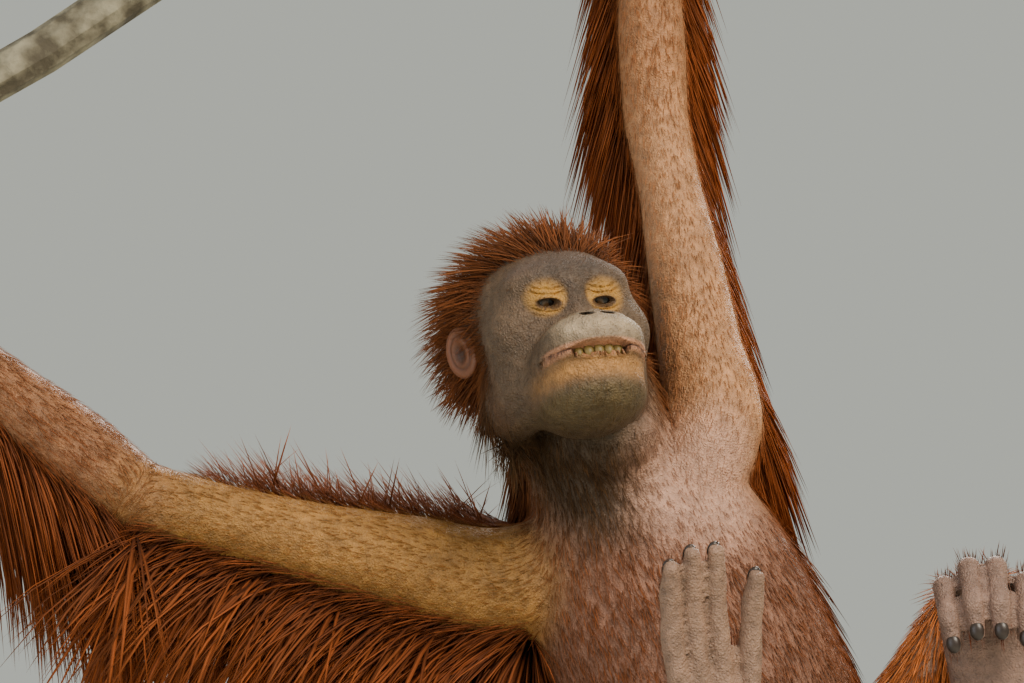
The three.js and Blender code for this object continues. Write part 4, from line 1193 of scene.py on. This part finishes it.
def rounded(centre, radii, axes):
    """A ball scaled along its own axes."""
    bpy.ops.mesh.primitive_uv_sphere_add(segments=16, ring_count=12, radius=1)
    ball = bpy.context.object
    put(ball, (points(ball) * MM * np.array(radii)) @ np.array(axes) + centre)
    bpy.ops.object.shade_smooth()
    return ball


def joined(pieces, name, material):
    """The pieces as one object, with its material."""
    bpy.ops.object.select_all(action="DESELECT")
    for piece in pieces:
        piece.select_set(True)
    bpy.context.view_layer.objects.active = pieces[0]
    bpy.ops.object.join()
    obj = bpy.context.object
    obj.name = name
    obj.data.materials.clear()
    obj.data.materials.append(material)
    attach(obj, "root")
    print(name, "of", len(pieces))


teeth = []
for share in TEETH_AT:
    x = MOUTH["half"] * share
    place = v(x, np.interp(x, lip_x, lip_y) + TOOTH_BACK, MOUTH["middle"] - TOOTH_DOWN)
    teeth.append(rounded(from_head(place[None])[0], TOOTH_RADII, HEAD_AXES.T))
joined(teeth, "teeth", tooth_material)
for owner, spots_of in nails.items():
    plates = [
        rounded(spot, (radius * 0.58, radius * 0.78, radius * 0.4), (hinge, heading, back))
        for spot, hinge, heading, back, radius in spots_of
    ]
    joined(plates, "nails_" + owner, nail_material)

# %% [markdown]
# Ears: a small cup with a rolled rim. A torus and a ball are joined, melted into one and smoothed, and
# the bowl is pressed into the cup. Painted shade darkens it in the bowl and along the fold of the rim.

# %% Ears
EAR_TURN, EAR_TIP = 0.6, 0.12
BOWL_DEEP, FOLD_DEEP = 3.4, 0.7
EAR_GRAINS = 500.0  # to a metre: 2 mm apart
ear_material, shader = new_material("ear skin", "#6e4124", 0.55, Subsurface_Weight=0.1)
markings_and_painted_shading = add_node(ear_material, "Attribute", attribute_name="markings_and_painted_shading")
link(ear_material, markings_and_painted_shading.outputs["Color"], shader.inputs["Base Color"])
where = add_node(ear_material, "TexCoord").outputs["Object"]
grain = add_node(ear_material, "TexNoise", Scale=EAR_GRAINS, Detail=4.0)
link(ear_material, where, grain.inputs["Vector"])
bump(ear_material, shader, [(grain.outputs[0], 0.6 * MM)])
for side, s in (("right", -1), ("left", 1)):
    bpy.ops.mesh.primitive_torus_add(major_segments=40, minor_segments=16, major_radius=1, minor_radius=0.2)
    rim = bpy.context.object
    ring = points(rim) * MM
    put(rim, np.stack([ring[:, 2] * 12, ring[:, 0] * EAR["deep"], ring[:, 1] * EAR["tall"]], axis=1))
    bpy.ops.mesh.primitive_uv_sphere_add(segments=32, ring_count=24, radius=1)
    cup = bpy.context.object
    ball = points(cup) * MM * [3.6, EAR["deep"], EAR["tall"]]
    put(cup, ball)
    bpy.ops.object.select_all(action="DESELECT")
    rim.select_set(True)
    cup.select_set(True)
    bpy.context.view_layer.objects.active = rim
    bpy.ops.object.join()
    ear = bpy.context.object
    ear.name = "earlobe_" + side
    melt = ear.modifiers.new("melt", "REMESH")
    melt.mode, melt.voxel_size = "VOXEL", 0.8 * MM
    bpy.ops.object.modifier_apply(modifier=melt.name)
    ease = ear.modifiers.new("ease", "SMOOTH")
    ease.iterations = 6
    bpy.ops.object.modifier_apply(modifier=ease.name)
    p = points(ear)
    bowl = smooth(1, 0.2, np.hypot((p[:, 1] - 1) / 7, (p[:, 2] + 1) / 10)) * (p[:, 0] * s > 0)
    p[:, 0] -= s * bowl * BOWL_DEEP
    fold = np.exp(-(((np.hypot(p[:, 1] / 7.6, p[:, 2] / 10.8) - 1) / 0.1) ** 2)) * (p[:, 0] * s > 0)
    p[:, 0] -= s * fold * FOLD_DEEP
    lean = Matrix.Rotation(-s * EAR_TURN, 3, "Z") @ Matrix.Rotation(s * EAR_TIP, 3, "Y")
    put(ear, from_head(p @ np.array(lean).T + v(s * EAR["x"], EAR["y"], EAR["z"])))
    # Painted shade in the bowl and along the fold of the rim
    ground = np.tile(colour("#74462a"), (len(p), 1))
    add_colour(ear, "markings_and_painted_shading", tint(ground, "#2c1a10", bowl * 0.8 + fold * 0.5))
    bpy.ops.object.shade_smooth()
    ear.data.materials.clear()
    ear.data.materials.append(ear_material)
    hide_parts("ear_" + side)
    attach(ear, "root")
    print(ear.name, len(ear.data.polygons), "faces")

# %% [markdown]
# Branch and stand keep the solids' own shapes. The branch gets a weathered bark, dull and grained, the
# base a satin paint, and the rods plain steel, smooth enough to mirror the room softly.

# %% Branch and stand
BARK_GRAINS, BARK_CELLS = 60.0, 90.0  # to a metre: 17 and 11 mm apart
bark, shader = new_material("bark", "#77705c", 0.85)
where = add_node(bark, "TexCoord").outputs["Object"]
grain = add_node(bark, "TexNoise", Scale=BARK_GRAINS, Detail=8.0)
cells = add_node(bark, "TexVoronoi", Scale=BARK_CELLS)
for texture in (grain, cells):
    link(bark, where, texture.inputs["Vector"])
shades = add_node(bark, "ValToRGB")
for element, place, hex_code in zip(shades.color_ramp.elements, (0.35, 0.65), ("#4d4636", "#938c74")):
    element.position = place
    element.color = (*colour(hex_code), 1)
link(bark, grain.outputs[0], shades.inputs["Fac"])
link(bark, shades.outputs["Color"], shader.inputs["Base Color"])
bump(bark, shader, [(grain.outputs[0], 4 * MM), (cells.outputs[0], 1 * MM)])
paint, _ = new_material("base paint", "#3b3a38", 0.5)
steel, _ = new_material("steel", "#8f9296", 0.35, Metallic=1.0)
for name, material, slot_name in (
    ("branch", bark, "bark"),
    ("stand_base", paint, "base"),
    ("stand_rod_right", steel, "rod"),
    ("stand_rod_left", steel, "rod"),
):
    nodes[name].data.materials.clear()
    nodes[name].data.materials.append(material)
    print(name, "in", material.name)
for name in ("branch", "stand_rod_right", "stand_rod_left"):
    bpy.ops.object.select_all(action="DESELECT")
    nodes[name].select_set(True)
    bpy.context.view_layer.objects.active = nodes[name]
    bpy.ops.object.shade_smooth_by_angle(angle=math.radians(50))

# %% [markdown]
# A plain pale floor, and soft light from large lamps: a key high on the right, a fill on the left and
# a rim from behind. The world fills in the rest.

# %% Floor and light
FLOOR_SIZE = 14
bpy.ops.mesh.primitive_plane_add(size=FLOOR_SIZE, location=(0, 0, 0))
floor = bpy.context.object
floor.name = "floor"
LIT = Vector((-0.12, 0, 0.62))
floor_material, _ = new_material("floor", "#c9cabf", 0.9)
floor.data.materials.append(floor_material)


def lamp(name, place, size, power, hex_code):
    """A square lamp that looks at the upper body. Places are in metres."""
    bpy.ops.object.light_add(type="AREA", location=place)
    light = bpy.context.object
    light.name = name
    light.data.size = size
    light.data.energy = power
    light.data.color = colour(hex_code)
    toward = LIT - Vector(place)
    light.rotation_euler = toward.to_track_quat("-Z", "Y").to_euler()


lamp("key", (1.1, -1.7, 2.0), 1.1, 78, "#fff2e0")
lamp("fill", (-1.6, -1.9, 0.9), 1.8, 20, "#eef2ff")
lamp("rim", (0.3, 1.6, 1.9), 1.2, 60, "#fff8f0")
world = bpy.data.worlds.new("studio")
world.use_nodes = True
backdrop = world.node_tree.nodes["Background"]
backdrop.inputs["Color"].default_value = (*colour("#d2d5cb"), 1)
backdrop.inputs["Strength"].default_value = 0.75
bpy.context.scene.world = world
print(len(bpy.data.lights), "lamps")
